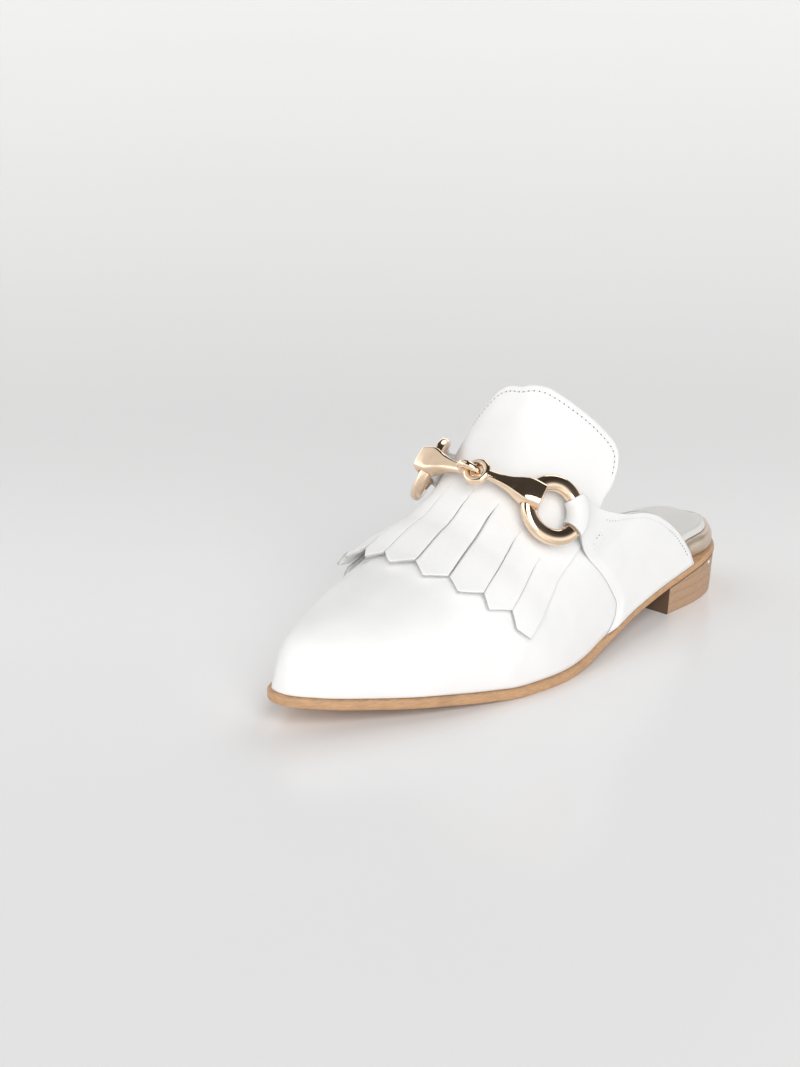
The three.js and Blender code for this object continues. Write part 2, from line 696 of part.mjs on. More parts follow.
const mesh = (name, geometry, material) => {
  const made = new THREE.Mesh(geometry, material);
  made.name = name;
  return made;
};

const whiteLeather = new THREE.MeshStandardMaterial({ color: 0xf2f1ef, roughness: 0.5, metalness: 0 });
const soleLeather = new THREE.MeshStandardMaterial({ color: 0xc99a72, roughness: 0.55, metalness: 0 });
const heelLeather = new THREE.MeshStandardMaterial({ color: 0xb49473, roughness: 0.6, metalness: 0 });
const pearlLeather = new THREE.MeshStandardMaterial({ color: 0xbdb2a2, roughness: 0.45, metalness: 0 });
const roseGold = new THREE.MeshStandardMaterial({ color: 0xe6bfa0, roughness: 0.12, metalness: 1 });

const part = new THREE.Group();
part.add(mesh("upper", upper(), whiteLeather));
part.add(mesh("tongue", tongue(), whiteLeather));
part.add(mesh("quarter_lateral", quarter(1), whiteLeather));
part.add(mesh("quarter_medial", quarter(-1), whiteLeather));
part.add(mesh("outsole", outsole(), soleLeather));
part.add(mesh("heel", heel(), heelLeather));
part.add(mesh("footbed", footbed(), pearlLeather));
part.add(mesh("sock", sock(), whiteLeather));
part.add(mesh("ring_lateral", ring(1), roseGold));
part.add(mesh("ring_medial", ring(-1), roseGold));
part.add(mesh("bar_lateral", bar(1), roseGold));
part.add(mesh("bar_medial", bar(-1), roseGold));

// The origin is the bottom centre of the whole shoe.
const box = new THREE.Box3().setFromObject(part);
const centre = box.getCenter(new THREE.Vector3());
part.position.set(-centre.x, -centre.y, -box.min.z);

export default part;
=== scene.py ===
"""Dresses a left mule in white leather: fringed tongue, snaffle bit, tan sole and stacked heel."""
import math
import types

import bmesh
import bpy
import numpy as np
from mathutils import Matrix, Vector


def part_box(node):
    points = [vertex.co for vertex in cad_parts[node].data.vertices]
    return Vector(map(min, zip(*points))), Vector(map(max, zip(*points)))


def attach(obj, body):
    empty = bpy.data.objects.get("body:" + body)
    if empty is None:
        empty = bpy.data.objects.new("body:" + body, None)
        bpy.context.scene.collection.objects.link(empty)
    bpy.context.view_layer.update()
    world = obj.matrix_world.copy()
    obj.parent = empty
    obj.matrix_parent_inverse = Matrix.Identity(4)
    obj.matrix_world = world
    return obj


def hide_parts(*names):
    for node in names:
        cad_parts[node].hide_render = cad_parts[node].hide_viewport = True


bl_info = {
    "name": "Fringed mule with snaffle bit",
    "version": (1, 0, 0),
    "blender": (4, 5, 0),
    "location": "View3D > Sidebar > Mule",
    "description": "Makes the leather, the stitches and the bit of a backless loafer over its last",
    "category": "Object",
}

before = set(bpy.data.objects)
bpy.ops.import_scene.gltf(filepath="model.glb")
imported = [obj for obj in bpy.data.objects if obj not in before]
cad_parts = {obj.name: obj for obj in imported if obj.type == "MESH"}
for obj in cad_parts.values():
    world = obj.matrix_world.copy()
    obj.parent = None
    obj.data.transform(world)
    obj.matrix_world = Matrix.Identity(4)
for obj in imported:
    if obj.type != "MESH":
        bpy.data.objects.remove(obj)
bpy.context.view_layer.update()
MM = 0.001


def table(names, *rows):
    """A short table with named columns."""
    columns = zip(*rows)
    return {name: np.array(values, float) for name, values in zip(names.split(), columns)}


# Sizes in millimetres, as in the part's source: the last, the sole and the heel.
SOLE_LENGTH = 262
BALL_WIDTH = 82
INSTEP_HEIGHT = 69
TOE_SPRING = 10.6
HEEL_RISE = 18.6
SOLE_FOREPART = 4.2
SOLE_WAIST = 3.3
SOLE_EDGE = 1.8
HEEL_LENGTH = 55
HEEL_TAPER = 1.6
# The footbed and its sock.
FOOTBED_HEEL = 8
FOOTBED_TOE = 2.4
SOCK_MARGIN = 3.4
# Room between pieces, and the leather's thickness.
GAP = 0.3
SOLE_GAP = 0.45
FACING_GAP = 0.55
UPPER_WALL = 1.8
FACING = 1.2
# About how far the last's stations reach, and how far it is from one feather line to the other.
STATION_LENGTH = 0.62 * SOLE_LENGTH
GIRTH = 1.9 * BALL_WIDTH

# The sole's outline: share of the length from the toe, then both edges in ball widths.
OUTLINE = table(
    "along out inn",
    (0, -0.081, -0.091), (0.0012, -0.056, -0.116), (0.004, -0.033, -0.14), (0.012, 0.002, -0.173),
    (0.038, 0.068, -0.235), (0.095, 0.18, -0.332), (0.19, 0.34, -0.423), (0.286, 0.451, -0.47),
    (0.363, 0.512, -0.463), (0.42, 0.527, -0.427), (0.496, 0.5, -0.36), (0.592, 0.427, -0.299),
    (0.687, 0.36, -0.287), (0.782, 0.323, -0.305), (0.87, 0.305, -0.311), (0.935, 0.25, -0.262),
    (0.977, 0.14, -0.159), (0.9975, 0.037, -0.061), (1, -0.007, -0.017),
)
# The sole from the side: shares of the toe spring, of the heel's rise, and of the thin waist.
SOLE_PROFILE = table(
    "along spring lift body",
    (0, 1, 0, 0), (0.02, 0.91, 0, 0), (0.06, 0.74, 0, 0), (0.115, 0.57, 0, 0), (0.165, 0.43, 0, 0),
    (0.22, 0.3, 0, 0), (0.3, 0.09, 0, 0), (0.345, 0, 0, 0), (0.46, 0, 0, 0), (0.5, 0, 0.06, 0.3),
    (0.55, 0, 0.19, 0.7), (0.61, 0, 0.3, 1), (0.69, 0, 0.48, 1), (0.79, 0, 0.7, 1), (0.87, 0, 0.88, 1),
    (0.93, 0, 0.97, 1), (1, 0, 1, 1),
)
# The last's sections: the feather line and the ridge in sole lengths, the ridge's height, the middle's
# shift in ball widths, how square each half is, and how far it bellies out.
SECTIONS = table(
    "at foot ridge rise middle round_out round_in belly_out belly_in",
    (0, 0, 0.0134, 0.174, -0.086, 2.2, 2.2, 0, 0),
    (0.02, 0.0115, 0.0286, 0.267, -0.09, 2.2, 2.2, 0, 0),
    (0.05, 0.0382, 0.0534, 0.342, -0.1, 2.2, 2.2, 0.01, 0.014),
    (0.12, 0.0954, 0.103, 0.422, -0.114, 2.2, 2.2, 0.012, 0.03),
    (0.22, 0.179, 0.172, 0.513, -0.116, 2.2, 2.4, 0.018, 0.055),
    (0.32, 0.267, 0.237, 0.613, -0.098, 2.2, 2.7, 0.024, 0.07),
    (0.42, 0.344, 0.279, 0.717, -0.079, 2.2, 3, 0.024, 0.07),
    (0.52, 0.427, 0.321, 0.82, -0.067, 2.2, 3.4, 0.03, 0.07),
    (0.64, 0.534, 0.366, 0.903, -0.055, 2.3, 3.9, 0.037, 0.085),
    (0.76, 0.637, 0.416, 1, -0.049, 2.4, 4.4, 0.073, 0.14),
    (0.86, 0.725, 0.458, 1.09, -0.043, 2.5, 4.7, 0.098, 0.18),
    (0.94, 0.809, 0.5, 1.2, -0.037, 2.5, 4.5, 0.11, 0.19),
    (1, 0.882, 0.538, 1.357, -0.037, 2.5, 3.9, 0.122, 0.18),
    (1.1, 0.962, 0.595, 1.65, -0.037, 2.5, 3.4, 0.171, 0.2),
)
# How far back the upper reaches from the outer feather line to the ridge, and how much less inside.
TOPLINE = table(
    "across reach",
    (0, 0.98), (0.01, 0.987), (0.024, 0.99), (0.04, 0.99), (0.057, 0.986), (0.075, 0.98),
    (0.093, 0.972), (0.11, 0.961), (0.126, 0.946), (0.141, 0.925), (0.153, 0.907), (0.168, 0.889),
    (0.183, 0.881), (0.193, 0.886), (0.198, 0.913), (0.201, 0.9435), (0.2095, 0.9685),
    (0.2235, 0.989), (0.241, 0.999), (0.2625, 1.003), (0.3125, 1.007), (0.4, 1.008), (0.5, 0.997),
)
INNER_DROP = 0.065
# The quarter's front edge.
SEAM = table(
    "across at",
    (0, 0.695), (0.003, 0.716), (0.011, 0.75), (0.03, 0.7755), (0.084, 0.781), (0.15, 0.773),
    (0.2, 0.775),
)
# The fringe's slits from the outer side to the ridge, and the tip of the strip after each.
SLITS = table(
    "top_across top_at end_across end_at tip_across tip_at",
    (0.168, 0.66, 0.112, 0.474, 0.15, 0.455),
    (0.233, 0.66, 0.194, 0.474, 0.226, 0.422),
    (0.303, 0.688, 0.267, 0.441, 0.306, 0.388),
    (0.385, 0.725, 0.357, 0.412, 0.4, 0.358),
    (0.468, 0.736, 0.453, 0.393, 0.5, 0.346),
)
# Where the strips' edges and middles would end on the tongue's top.
TONGUE_TOP = (0.222, 0.245, 0.28, 0.31, 0.345, 0.38, 0.41, 0.44, 0.47, 0.5)
# A bar from its eye to its flared end: shares of its length, width and depth.
BAR_SHAPE = table(
    "along wide thick",
    (0, 0.32, 0.36), (0.16, 0.36, 0.42), (0.4, 0.5, 0.62), (0.6, 0.78, 0.9), (0.78, 1, 1),
    (1, 0.96, 0.94),
)
# Creases: station, share across, turn from lengthwise in degrees, then millimetres.
CREASES = table(
    "at across turn length width depth",
    (0.36, 0.2, 24, 26, 7, -0.35), (0.43, 0.13, 34, 22, 5, -0.4), (0.47, 0.1, 38, 20, 4, 0.3),
    (0.55, 0.09, 60, 16, 4, -0.35), (0.62, 0.11, 72, 14, 4, -0.3), (0.36, 0.8, -24, 26, 7, -0.3),
    (0.45, 0.88, -36, 20, 5, -0.4), (0.56, 0.9, -60, 16, 4, -0.35), (0.2, 0.36, 8, 30, 9, -0.25),
    (0.16, 0.62, -10, 28, 8, -0.22), (0.28, 0.5, 4, 34, 10, 0.22), (0.88, 0.1, 78, 12, 5, -0.3),
    (0.9, 0.9, -78, 12, 5, -0.3), (0.86, 0.06, 20, 16, 6, 0.2), (0.93, 0.42, 84, 24, 8, -0.3),
    (0.9, 0.56, 96, 24, 8, 0.2), (0.84, 0.35, 70, 16, 6, -0.25), (0.84, 0.66, -70, 16, 6, -0.25),
)
# How each strip hangs: millimetres its tip stands off, its twist, and how much longer it is in stations.
STRIPS = table(
    "lift twist longer",
    (1.0, -0.4, 0), (1.3, 0.5, 0), (1.5, -0.4, 0), (1.2, 0.5, 0), (1.7, -0.4, 0), (2.2, 0.6, 0.012),
    (4.4, 0.5, 0.045), (5.2, -0.5, 0.065), (3.6, 0.3, 0.075),
)
# How wide each slit stands open, in millimetres, from the outer side to the inner.
OPENINGS = (0.25, 0.35, 0.95, 0.55, 0.5, 0.8, 0.6, 0.35)
# The tongue's side edge above the fringe: under the strap, then along the notch to the arch.
SIDE_EDGE = table(
    "at across",
    (0.66, 0.168), (0.78, 0.175), (0.87, 0.186), (0.913, 0.198), (0.9435, 0.201), (0.9685, 0.2095),
    (0.989, 0.2235),
)
# Where the rings lie, where the straps start, and where the bit's two eyes meet.
RING_SEAT = {"at": 0.775, "across": 0.277, "half_at": 0.07, "half_across": 0.05}
STRAP = {"from": 0.79, "to": 0.872, "across": 0.2}
LINK = {"at": 0.757, "across": 0.472, "off": 8.8}
# The nail in the heel: how far back and how high it sits, and its radius.
NAIL = {"along": 0.92, "height": 15.6, "radius": 1.1}
# Which way is out on each side.
SIDES = {"lateral": 1, "medial": -1}
# The outsole's edge from the top's middle to the bottom's: how far in, share of the height, and more.
SOLE_RIM = table(
    "inset share more",
    (6, 1, 0), (0.7, 1, 0), (0.25, 1, -0.12), (0, 1, -0.5), (0, 0.5, 0),
    (0.03, 0, 1), (0.2, 0, 0.5), (0.5, 0, 0.16), (0.95, 0, 0), (6, 0, 0),
)


# Shapes worked out from the tables.
def curve(columns, key, name):
    """A smooth curve through one column of a table, without overshoot."""
    x = columns[key]
    y = columns[name]
    step = np.diff(x)
    rise = np.diff(y) / step
    slope = np.zeros_like(y)
    slope[0] = rise[0]
    slope[-1] = rise[-1]
    before = 2 * step[1:] + step[:-1]
    after = step[1:] + 2 * step[:-1]
    same_way = rise[:-1] * rise[1:] > 0
    safe = np.where(same_way[:, None], np.stack([rise[:-1], rise[1:]], 1), 1)
    slope[1:-1] = np.where(same_way, (before + after) / (before / safe[:, 0] + after / safe[:, 1]), 0)

    def value(at):
        at = np.asarray(at, float)
        i = np.clip(np.searchsorted(x, at, side="right") - 1, 0, len(x) - 2)
        t = (at - x[i]) / step[i]
        s = 1 - t
        ends = y[i] * s * s * (1 + 2 * t) + y[i + 1] * t * t * (3 - 2 * t)
        return ends + step[i] * t * s * (slope[i] * s - slope[i + 1] * t)

    return value


def mix(a, b, t):
    return a + (b - a) * t


def ramp(low, high, at):
    """0 below low, 1 above high, soft between."""
    t = np.clip((np.asarray(at, float) - low) / (high - low), 0, 1)
    return t * t * (3 - 2 * t)


def unit(vectors):
    return vectors / np.maximum(np.linalg.norm(vectors, axis=-1, keepdims=True), 1e-9)


def on_side(side, across):
    """A share across the last that is given for the outer side, on the side asked for."""
    return across if side > 0 else 1 - across


def both_halves(shares):
    """Shares across from the outer side to the ridge, and on to the inner side."""
    shares = np.asarray(shares, float)
    return np.concatenate([shares, 1 - shares[-2::-1]])


out_of = curve(OUTLINE, "along", "out")
inn_of = curve(OUTLINE, "along", "inn")
spring_of = curve(SOLE_PROFILE, "along", "spring")
lift_of = curve(SOLE_PROFILE, "along", "lift")
body_of = curve(SOLE_PROFILE, "along", "body")
section = {name: curve(SECTIONS, "at", name) for name in SECTIONS}
outer_reach_of = curve(TOPLINE, "across", "reach")
seam_of = curve(SEAM, "across", "at")


def reach_of(across):
    """How far back the upper reaches; the inner half of the tongue's arch lies lower."""
    drop = INNER_DROP * ramp(0.465, 0.72, across) * (1 - ramp(0.79, 0.806, across))
    return outer_reach_of(np.minimum(across, 1 - across)) - drop


def sole_under(along):
    return TOE_SPRING * spring_of(along) + HEEL_RISE * lift_of(along)


def sole_top(along):
    return sole_under(along) + mix(SOLE_FOREPART, SOLE_WAIST, body_of(along))


def last_point(at, across):
    """A point of the last. across runs from the outer feather line (0) to the inner one (1)."""
    at, across = np.broadcast_arrays(np.asarray(at, float), np.asarray(across, float))
    cosine = np.cos(np.pi * across)
    outer = cosine >= 0
    squareness = np.where(outer, section["round_out"](at), section["round_in"](at))
    spread = np.abs(cosine) ** (2 / squareness)
    height = np.abs(np.sin(np.pi * across)) ** (2 / squareness)
    foot = section["foot"](at)
    middle = section["middle"](at)
    half = np.where(outer, out_of(foot), inn_of(foot)) - middle
    belly = np.where(outer, section["belly_out"](at), -section["belly_in"](at))
    bulge = 6.75 * height * height * (1 - height)
    x = BALL_WIDTH * (middle + (half + belly * bulge) * spread)
    y = SOLE_LENGTH * mix(foot, section["ridge"](at), height)
    z = sole_top(foot) + SOLE_GAP + INSTEP_HEIGHT * section["rise"](at) * height
    return np.stack([x, y, z], -1)


def last_normal(at, across):
    at, across = np.broadcast_arrays(np.asarray(at, float), np.asarray(across, float))
    ahead = last_point(at + 0.002, across) - last_point(np.maximum(at - 0.002, 0), across)
    over = last_point(at, np.minimum(across + 0.002, 1)) - last_point(at, np.maximum(across - 0.002, 0))
    return unit(np.cross(ahead, over))


def over_last(at, across, off):
    """A point off the last, along its outward normal."""
    return last_point(at, across) + last_normal(at, across) * np.asarray(off, float)[..., None]


def plan_point(turn, side, margin):
    """A point of the plan outline pushed out by a margin. turn runs from toe (0) to heel (1)."""

    def rim(t):
        along = (1 - np.cos(np.pi * t)) / 2
        x = out_of(along) if side > 0 else inn_of(along)
        return np.stack([BALL_WIDTH * x, SOLE_LENGTH * along], -1)

    turn = np.asarray(turn, float)
    way = unit(rim(np.minimum(turn + 0.004, 1)) - rim(np.maximum(turn - 0.004, 0)))
    push = np.stack([way[..., 1], -way[..., 0]], -1) * side * np.asarray(margin, float)[..., None]
    return rim(turn) + push


def turn_of(along):
    return np.arccos(1 - 2 * np.asarray(along, float)) / np.pi


def along_of(turns, side):
    """How far back the plan outline's points lie, as shares of the sole's length."""
    return np.clip(plan_point(turns, side, 0)[:, 1] / SOLE_LENGTH, 0, 1)


def find_origin():
    """Where the frame's origin lies, seen from the toe tip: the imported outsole's box gives it."""
    turns = np.arange(35) / 34
    rims = np.concatenate([plan_point(turns, side, SOLE_EDGE) for side in (1, -1)])
    low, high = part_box("outsole")
    middle = (rims.min(0) + rims.max(0)) / 2
    return np.array([middle[0] - (low[0] + high[0]) * 500, middle[1] - (low[1] + high[1]) * 500, 0])


ORIGIN = find_origin()


# Meshes.
def place(points):
    """Millimetres from the toe tip to metres in the frame."""
    return (np.asarray(points, float) - ORIGIN) * MM


def new_object(name, finish, points, faces, marks=None):
    """A mesh object at the origin, smooth, with point attributes for its finish."""
    mesh = bpy.data.meshes.new(name)
    mesh.from_pydata(place(points).tolist(), [], [list(map(int, face)) for face in faces])
    mesh.validate()
    mesh.polygons.foreach_set("use_smooth", [True] * len(mesh.polygons))
    for mark, values in (marks or {}).items():
        layer = mesh.attributes.new(mark, "FLOAT", "POINT")
        layer.data.foreach_set("value", np.asarray(values, np.float32))
    mesh.materials.append(finish)
    piece = bpy.data.objects.new(name, mesh)
    bpy.context.scene.collection.objects.link(piece)
    return piece


def cells(number):
    """The faces between the points of a grid, given as the grid of their numbers."""
    corners = (number[:-1, :-1], number[1:, :-1], number[1:, 1:], number[:-1, 1:])
    return np.stack(corners, -1).reshape(-1, 4)


def grid_faces(rows, columns, flip=False, wrap=False):
    """Faces of a grid whose points are numbered row by row."""
    number = np.arange(rows * columns).reshape(rows, columns)
    if wrap:
        number = np.concatenate([number, number[:, :1]], 1)
    faces = cells(number)
    return faces[:, ::-1] if flip else faces


def leather_sheet(outer, inner, faces, bulge, steps=4):
    """A closed sheet: outer face, inner face, and a rounded rim along every free edge."""
    count = len(outer)
    directed = np.concatenate([np.stack([faces[:, i], faces[:, (i + 1) % 4]], 1) for i in range(4)])
    keys = directed[:, 0] * count + directed[:, 1]
    back = directed[:, 1] * count + directed[:, 0]
    free = directed[~np.isin(back, keys)]
    start, end = free[free[:, 0] != free[:, 1]].T
    along = unit(outer[end] - outer[start])
    outward = np.zeros_like(outer)
    for corner in (start, end):
        np.add.at(outward, corner, np.cross(along, unit(outer[corner] - inner[corner])))
    outward = unit(outward)
    rim = np.unique([start, end])
    place_in_rim = np.full(count, -1)
    place_in_rim[rim] = np.arange(len(rim))
    points = [outer, inner]
    for step in range(1, steps):
        t = step / steps
        middle = mix(outer[rim], inner[rim], 0.5 - 0.5 * math.cos(math.pi * t))
        points.append(middle + outward[rim] * bulge * math.sin(math.pi * t))
    levels = [np.arange(count)]
    levels += [2 * count + k * len(rim) + np.maximum(place_in_rim, 0) for k in range(steps - 1)]
    levels.append(np.arange(count) + count)
    sides = []
    for upper, lower in zip(levels[:-1], levels[1:]):
        sides.append(np.stack([upper[end], upper[start], lower[start], lower[end]], 1))
    every = np.concatenate([faces, faces[:, ::-1] + count, *sides])
    inside = np.concatenate([np.zeros(count), np.ones(count), np.zeros((steps - 1) * len(rim))])
    edge = np.concatenate([np.zeros(2 * count), np.ones((steps - 1) * len(rim))])
    return np.concatenate(points), every, {"inside": inside, "edge": edge}


def loft(rings):
    """Points and faces of a solid through closed rings, with both ends closed."""
    rings = np.asarray(rings, float)
    rows, columns = rings.shape[:2]
    faces = [list(face) for face in grid_faces(rows, columns, wrap=True, flip=True)]
    faces.append(list(range(columns))[::-1])
    faces.append(list(range((rows - 1) * columns, rows * columns)))
    return rings.reshape(-1, 3), faces


def rounded_layer(start, end, rows, edge_at):
    """A layer with the plan outline's shape: edge_at lists margins and heights from top to bottom."""
    turns = mix(turn_of(start), turn_of(end), np.linspace(0, 1, rows))
    rings = []
    for side in (-1, 1):
        edge = edge_at(along_of(turns, side))
        for margin, height in edge if side > 0 else edge[::-1]:
            rings.append(np.concatenate([plan_point(turns, side, margin), height[:, None]], 1))
    columns = len(rings)
    faces = [list(face) for face in grid_faces(rows, columns, wrap=True, flip=True)]
    for first in (0, (rows - 1) * columns):
        last = first + columns - 1
        faces += [[first + j, first + j + 1, last - j - 1, last - j] for j in range(columns // 2 - 1)]
    return np.stack(rings, 1).reshape(-1, 3), faces


def recalculated(piece):
    """Merges doubles and turns the faces outward."""
    mesh = bmesh.new()
    mesh.from_mesh(piece.data)
    bmesh.ops.remove_doubles(mesh, verts=mesh.verts, dist=1e-6)
    bmesh.ops.recalc_face_normals(mesh, faces=mesh.faces)
    mesh.to_mesh(piece.data)
    mesh.free()
    return piece


def solid(name, finish, *shape):
    """A closed object whose faces point outward."""
    return recalculated(new_object(name, finish, *shape))


# Shader recipes.
def fill_sockets(tree, node, values):
    """Links or sets a node's inputs."""
    for name, value in values.items():
        value = getattr(value, "socket", value)
        if isinstance(value, bpy.types.NodeSocket):
            tree.links.new(value, node.inputs[name])
        else:
            node.inputs[name].default_value = value


def add_node(tree, kind, settings=None, values=None):
    """Adds one node: its settings first, then the values or links of its sockets."""
    made = tree.nodes.new(kind)
    for name, setting in (settings or {}).items():
        setattr(made, name, setting)
    fill_sockets(tree, made, values or {})
    return made.outputs


class Value:
    """A socket of a node tree that takes Python's operators."""

    def __init__(self, recipe, socket):
        self.recipe = recipe
        self.socket = socket

    def maths(self, operation, *others):
        values = dict(enumerate((self, *others)))
        return self.recipe.node("ShaderNodeMath", {"operation": operation}, values)

    def __add__(self, other):
        return self.maths("ADD", other)

    __radd__ = __add__

    def __mul__(self, other):
        return self.maths("MULTIPLY", other)

    __rmul__ = __mul__

    def __sub__(self, other):
        return self.maths("SUBTRACT", other)

    def __rsub__(self, other):
        return (self * -1) + other

    def between(self, low, high):
        """0 below low, 1 above high, soft between."""
        settings = {"interpolation_type": "SMOOTHSTEP"}
        return self.recipe.node("ShaderNodeMapRange", settings, {0: self, 1: low, 2: high})


# A finish's surface sockets, under short names.
SOCKETS = {
    "base": "Base Color", "rough": "Roughness", "metal": "Metallic",
    "normal": "Normal", "shine": "Specular IOR Level",
}


class Recipe:
    """The node tree of one finish."""

    def __init__(self, name):
        self.material = bpy.data.materials.new(name)
        self.material.use_nodes = True
        self.tree = self.material.node_tree
        self.surface = self.tree.nodes["Principled BSDF"]

    def node(self, kind, settings=None, values=None, output=0):
        """Adds one node and gives one of its outputs."""
        return Value(self, add_node(self.tree, kind, settings, values)[output])

    def attribute(self, name):
        return self.node("ShaderNodeAttribute", {"attribute_name": name}, output="Fac")

    def coordinates(self, stretch=(1, 1, 1)):
        """Object coordinates in millimetres, stretched."""
        place_on_piece = self.node("ShaderNodeTexCoord", output="Object")
        scale = tuple(1000 * s for s in stretch)
        return self.node("ShaderNodeMapping", None, {"Vector": place_on_piece, "Scale": scale})

    def place_along(self, axis):
        """One object coordinate, in metres."""
        where = self.node("ShaderNodeTexCoord", output="Object")
        return self.node("ShaderNodeSeparateXYZ", None, {"Vector": where}, output=axis)

    def noise(self, where, size, detail, roughness):
        """Noise with features about this many millimetres wide."""
        values = {"Vector": where, "Scale": 1 / size, "Detail": detail, "Roughness": roughness}
        return self.node("ShaderNodeTexNoise", None, values)

    def cells(self, where, size):
        return self.node("ShaderNodeTexVoronoi", None, {"Vector": where, "Scale": 1 / size})

    def blend(self, mask, first, second):
        """Mixes two colours."""
        settings = {"data_type": "RGBA"}
        return self.node("ShaderNodeMix", settings, {0: mask, 6: first, 7: second}, output=2)

    def bump(self, height, depth, strength, over=None):
        """A bump of this depth in millimetres, over another one if given."""
        values = {"Height": height, "Distance": depth * MM, "Strength": strength}
        if over is not None:
            values["Normal"] = over
        return self.node("ShaderNodeBump", None, values)

    def finish(self, **values):
        """Sets the surface's sockets: links for what changes over it, plain values for the rest."""
        fill_sockets(self.tree, self.surface, {SOCKETS[name]: value for name, value in values.items()})
        return self.material


def colour(values, fade=1.0):
    return (values[0] * fade, values[1] * fade, values[2] * fade, 1.0)


def smooth_white_leather(name, tone, raw, grain, lining=None):
    """Coated calf: fine pores, faint creases with painted shade in them, a raw grey edge where cut,
    lining inside.
    """
    recipe = Recipe(name)
    where = recipe.coordinates()
    pores = recipe.cells(where, grain)
    creases_and_painted_shade = recipe.noise(recipe.coordinates((1, 0.55, 1)), grain * 3.2, 5, 0.6)
    cloud = recipe.noise(where, 26, 2, 0.5)
    edge = recipe.attribute("edge")
    inside = recipe.attribute("inside")
    base = recipe.blend(cloud.between(0.35, 0.7), colour(tone), colour(tone, 0.965))
    # Painted shade: the colour is darkened where the crease noise is deep.
    base = recipe.blend(creases_and_painted_shade.between(0.62, 0.8) * 0.25, base, colour(tone, 0.9))
    fibres = recipe.noise(where, 0.35, 3, 0.7)
    cut = recipe.blend(fibres.between(0.35, 0.65), colour(raw), colour(raw, 0.72))
    base = recipe.blend(inside, base, colour(lining or tone))
    base = recipe.blend(edge.between(0.2, 0.9), base, cut)
    rough = cloud * 0.12 + pores * 0.1 + edge * 0.3 + 0.38
    low = recipe.bump(creases_and_painted_shade, 0.1, 0.5)
    normal = recipe.bump(pores.between(0.0, 0.7), 0.045, 0.55, low)
    return recipe.finish(base=base, rough=rough, normal=normal, shine=0.42)


def tan_sole_leather(name, tone):
    """Vegetable tanned sole leather: fibrous cut side, burnished, a few scuffs underneath."""
    recipe = Recipe(name)
    fibres = recipe.noise(recipe.coordinates((0.25, 0.25, 2.6)), 1.1, 5, 0.65)
    cloud = recipe.noise(recipe.coordinates(), 14, 3, 0.55)
    scuffs = recipe.noise(recipe.coordinates((3, 0.3, 1)), 2.4, 4, 0.7)
    base = recipe.blend(fibres.between(0.3, 0.7), colour(tone), colour(tone, 0.72))
    base = recipe.blend(cloud.between(0.45, 0.75) * 0.45, base, colour(tone, 0.6))
    rough = fibres * 0.22 + scuffs * 0.1 + 0.34
    normal = recipe.bump(fibres + scuffs * 0.5, 0.09, 0.6)
    return recipe.finish(base=base, rough=rough, normal=normal, shine=0.4)


def stacked_heel_leather(name, tone, lift, breast_at):
    """Lifts of leather glued in a stack: a fine dark line between them, and painted shade darkening the
    heel's front face.
    """
    recipe = Recipe(name)
    share = (recipe.place_along("Z") * (1 / (lift * MM))).maths("FRACT")
    line = (share - 0.5).maths("ABSOLUTE").between(0.455, 0.495)
    fibres = recipe.noise(recipe.coordinates((0.35, 0.35, 3.0)), 0.9, 5, 0.65)
    speckle = recipe.noise(recipe.coordinates(), 0.8, 3, 0.7)
    base = recipe.blend(fibres.between(0.3, 0.7), colour(tone), colour(tone, 0.86))
    base = recipe.blend(speckle.between(0.58, 0.74) * 0.3, base, colour(tone, 0.65))
    base = recipe.blend(line * 0.2, base, colour(tone, 0.5))
    # Painted shade: the heel's front face under the arch is darkened in the colour.
    painted_front_shade = 1 - (recipe.place_along("Y") * 1000).between(breast_at + 0.05, breast_at + 0.5)
    base = recipe.blend(painted_front_shade, base, colour(tone, 0.28))
    rough = fibres * 0.2 + 0.4
    normal = recipe.bump(fibres - line, 0.1, 0.5)
    return recipe.finish(base=base, rough=rough, normal=normal, shine=0.35)


def pearl_leather(name, tone):
    """Metallised kid: a soft pearl shine with very fine grain."""
    recipe = Recipe(name)
    where = recipe.coordinates()
    grain = recipe.cells(where, 0.7)
    cloud = recipe.noise(where, 9, 3, 0.55)
    base = recipe.blend(cloud.between(0.35, 0.7), colour(tone), colour(tone, 0.84))
    metal = cloud * 0.2 + 0.4
    rough = cloud * 0.15 + grain * 0.08 + 0.28
    normal = recipe.bump(grain, 0.03, 0.5)
    return recipe.finish(base=base, metal=metal, rough=rough, normal=normal)


def polished_metal(name, tone):
    """Rose gold plating, polished, with hairline marks that only the light finds."""
    recipe = Recipe(name)
    hairlines = recipe.noise(recipe.coordinates((6, 0.6, 2)), 1.4, 4, 0.6)
    cloud = recipe.noise(recipe.coordinates(), 5, 2, 0.5)
    base = recipe.blend(cloud.between(0.3, 0.7), colour(tone), colour(tone, 0.93))
    rough = hairlines * 0.05 + cloud * 0.04 + 0.05
    normal = recipe.bump(hairlines, 0.004, 0.25)
    return recipe.finish(base=base, metal=1.0, rough=rough, normal=normal)


def thread(name, tone):
    """Waxed thread with a twist."""
    recipe = Recipe(name)
    twist = recipe.noise(recipe.coordinates((1, 1, 3)), 0.3, 2, 0.5)
    base = recipe.blend(twist, colour(tone), colour(tone, 0.8))
    return recipe.finish(base=base, rough=0.6, normal=recipe.bump(twist, 0.05, 0.5))


# Pieces.
def dress(piece, slot, *nodes):
    """Lets a piece ride on the shoe and stands it for its solids; the slot is not used."""
    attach(piece, "root")
    if nodes:
        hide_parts(*nodes)
    return piece


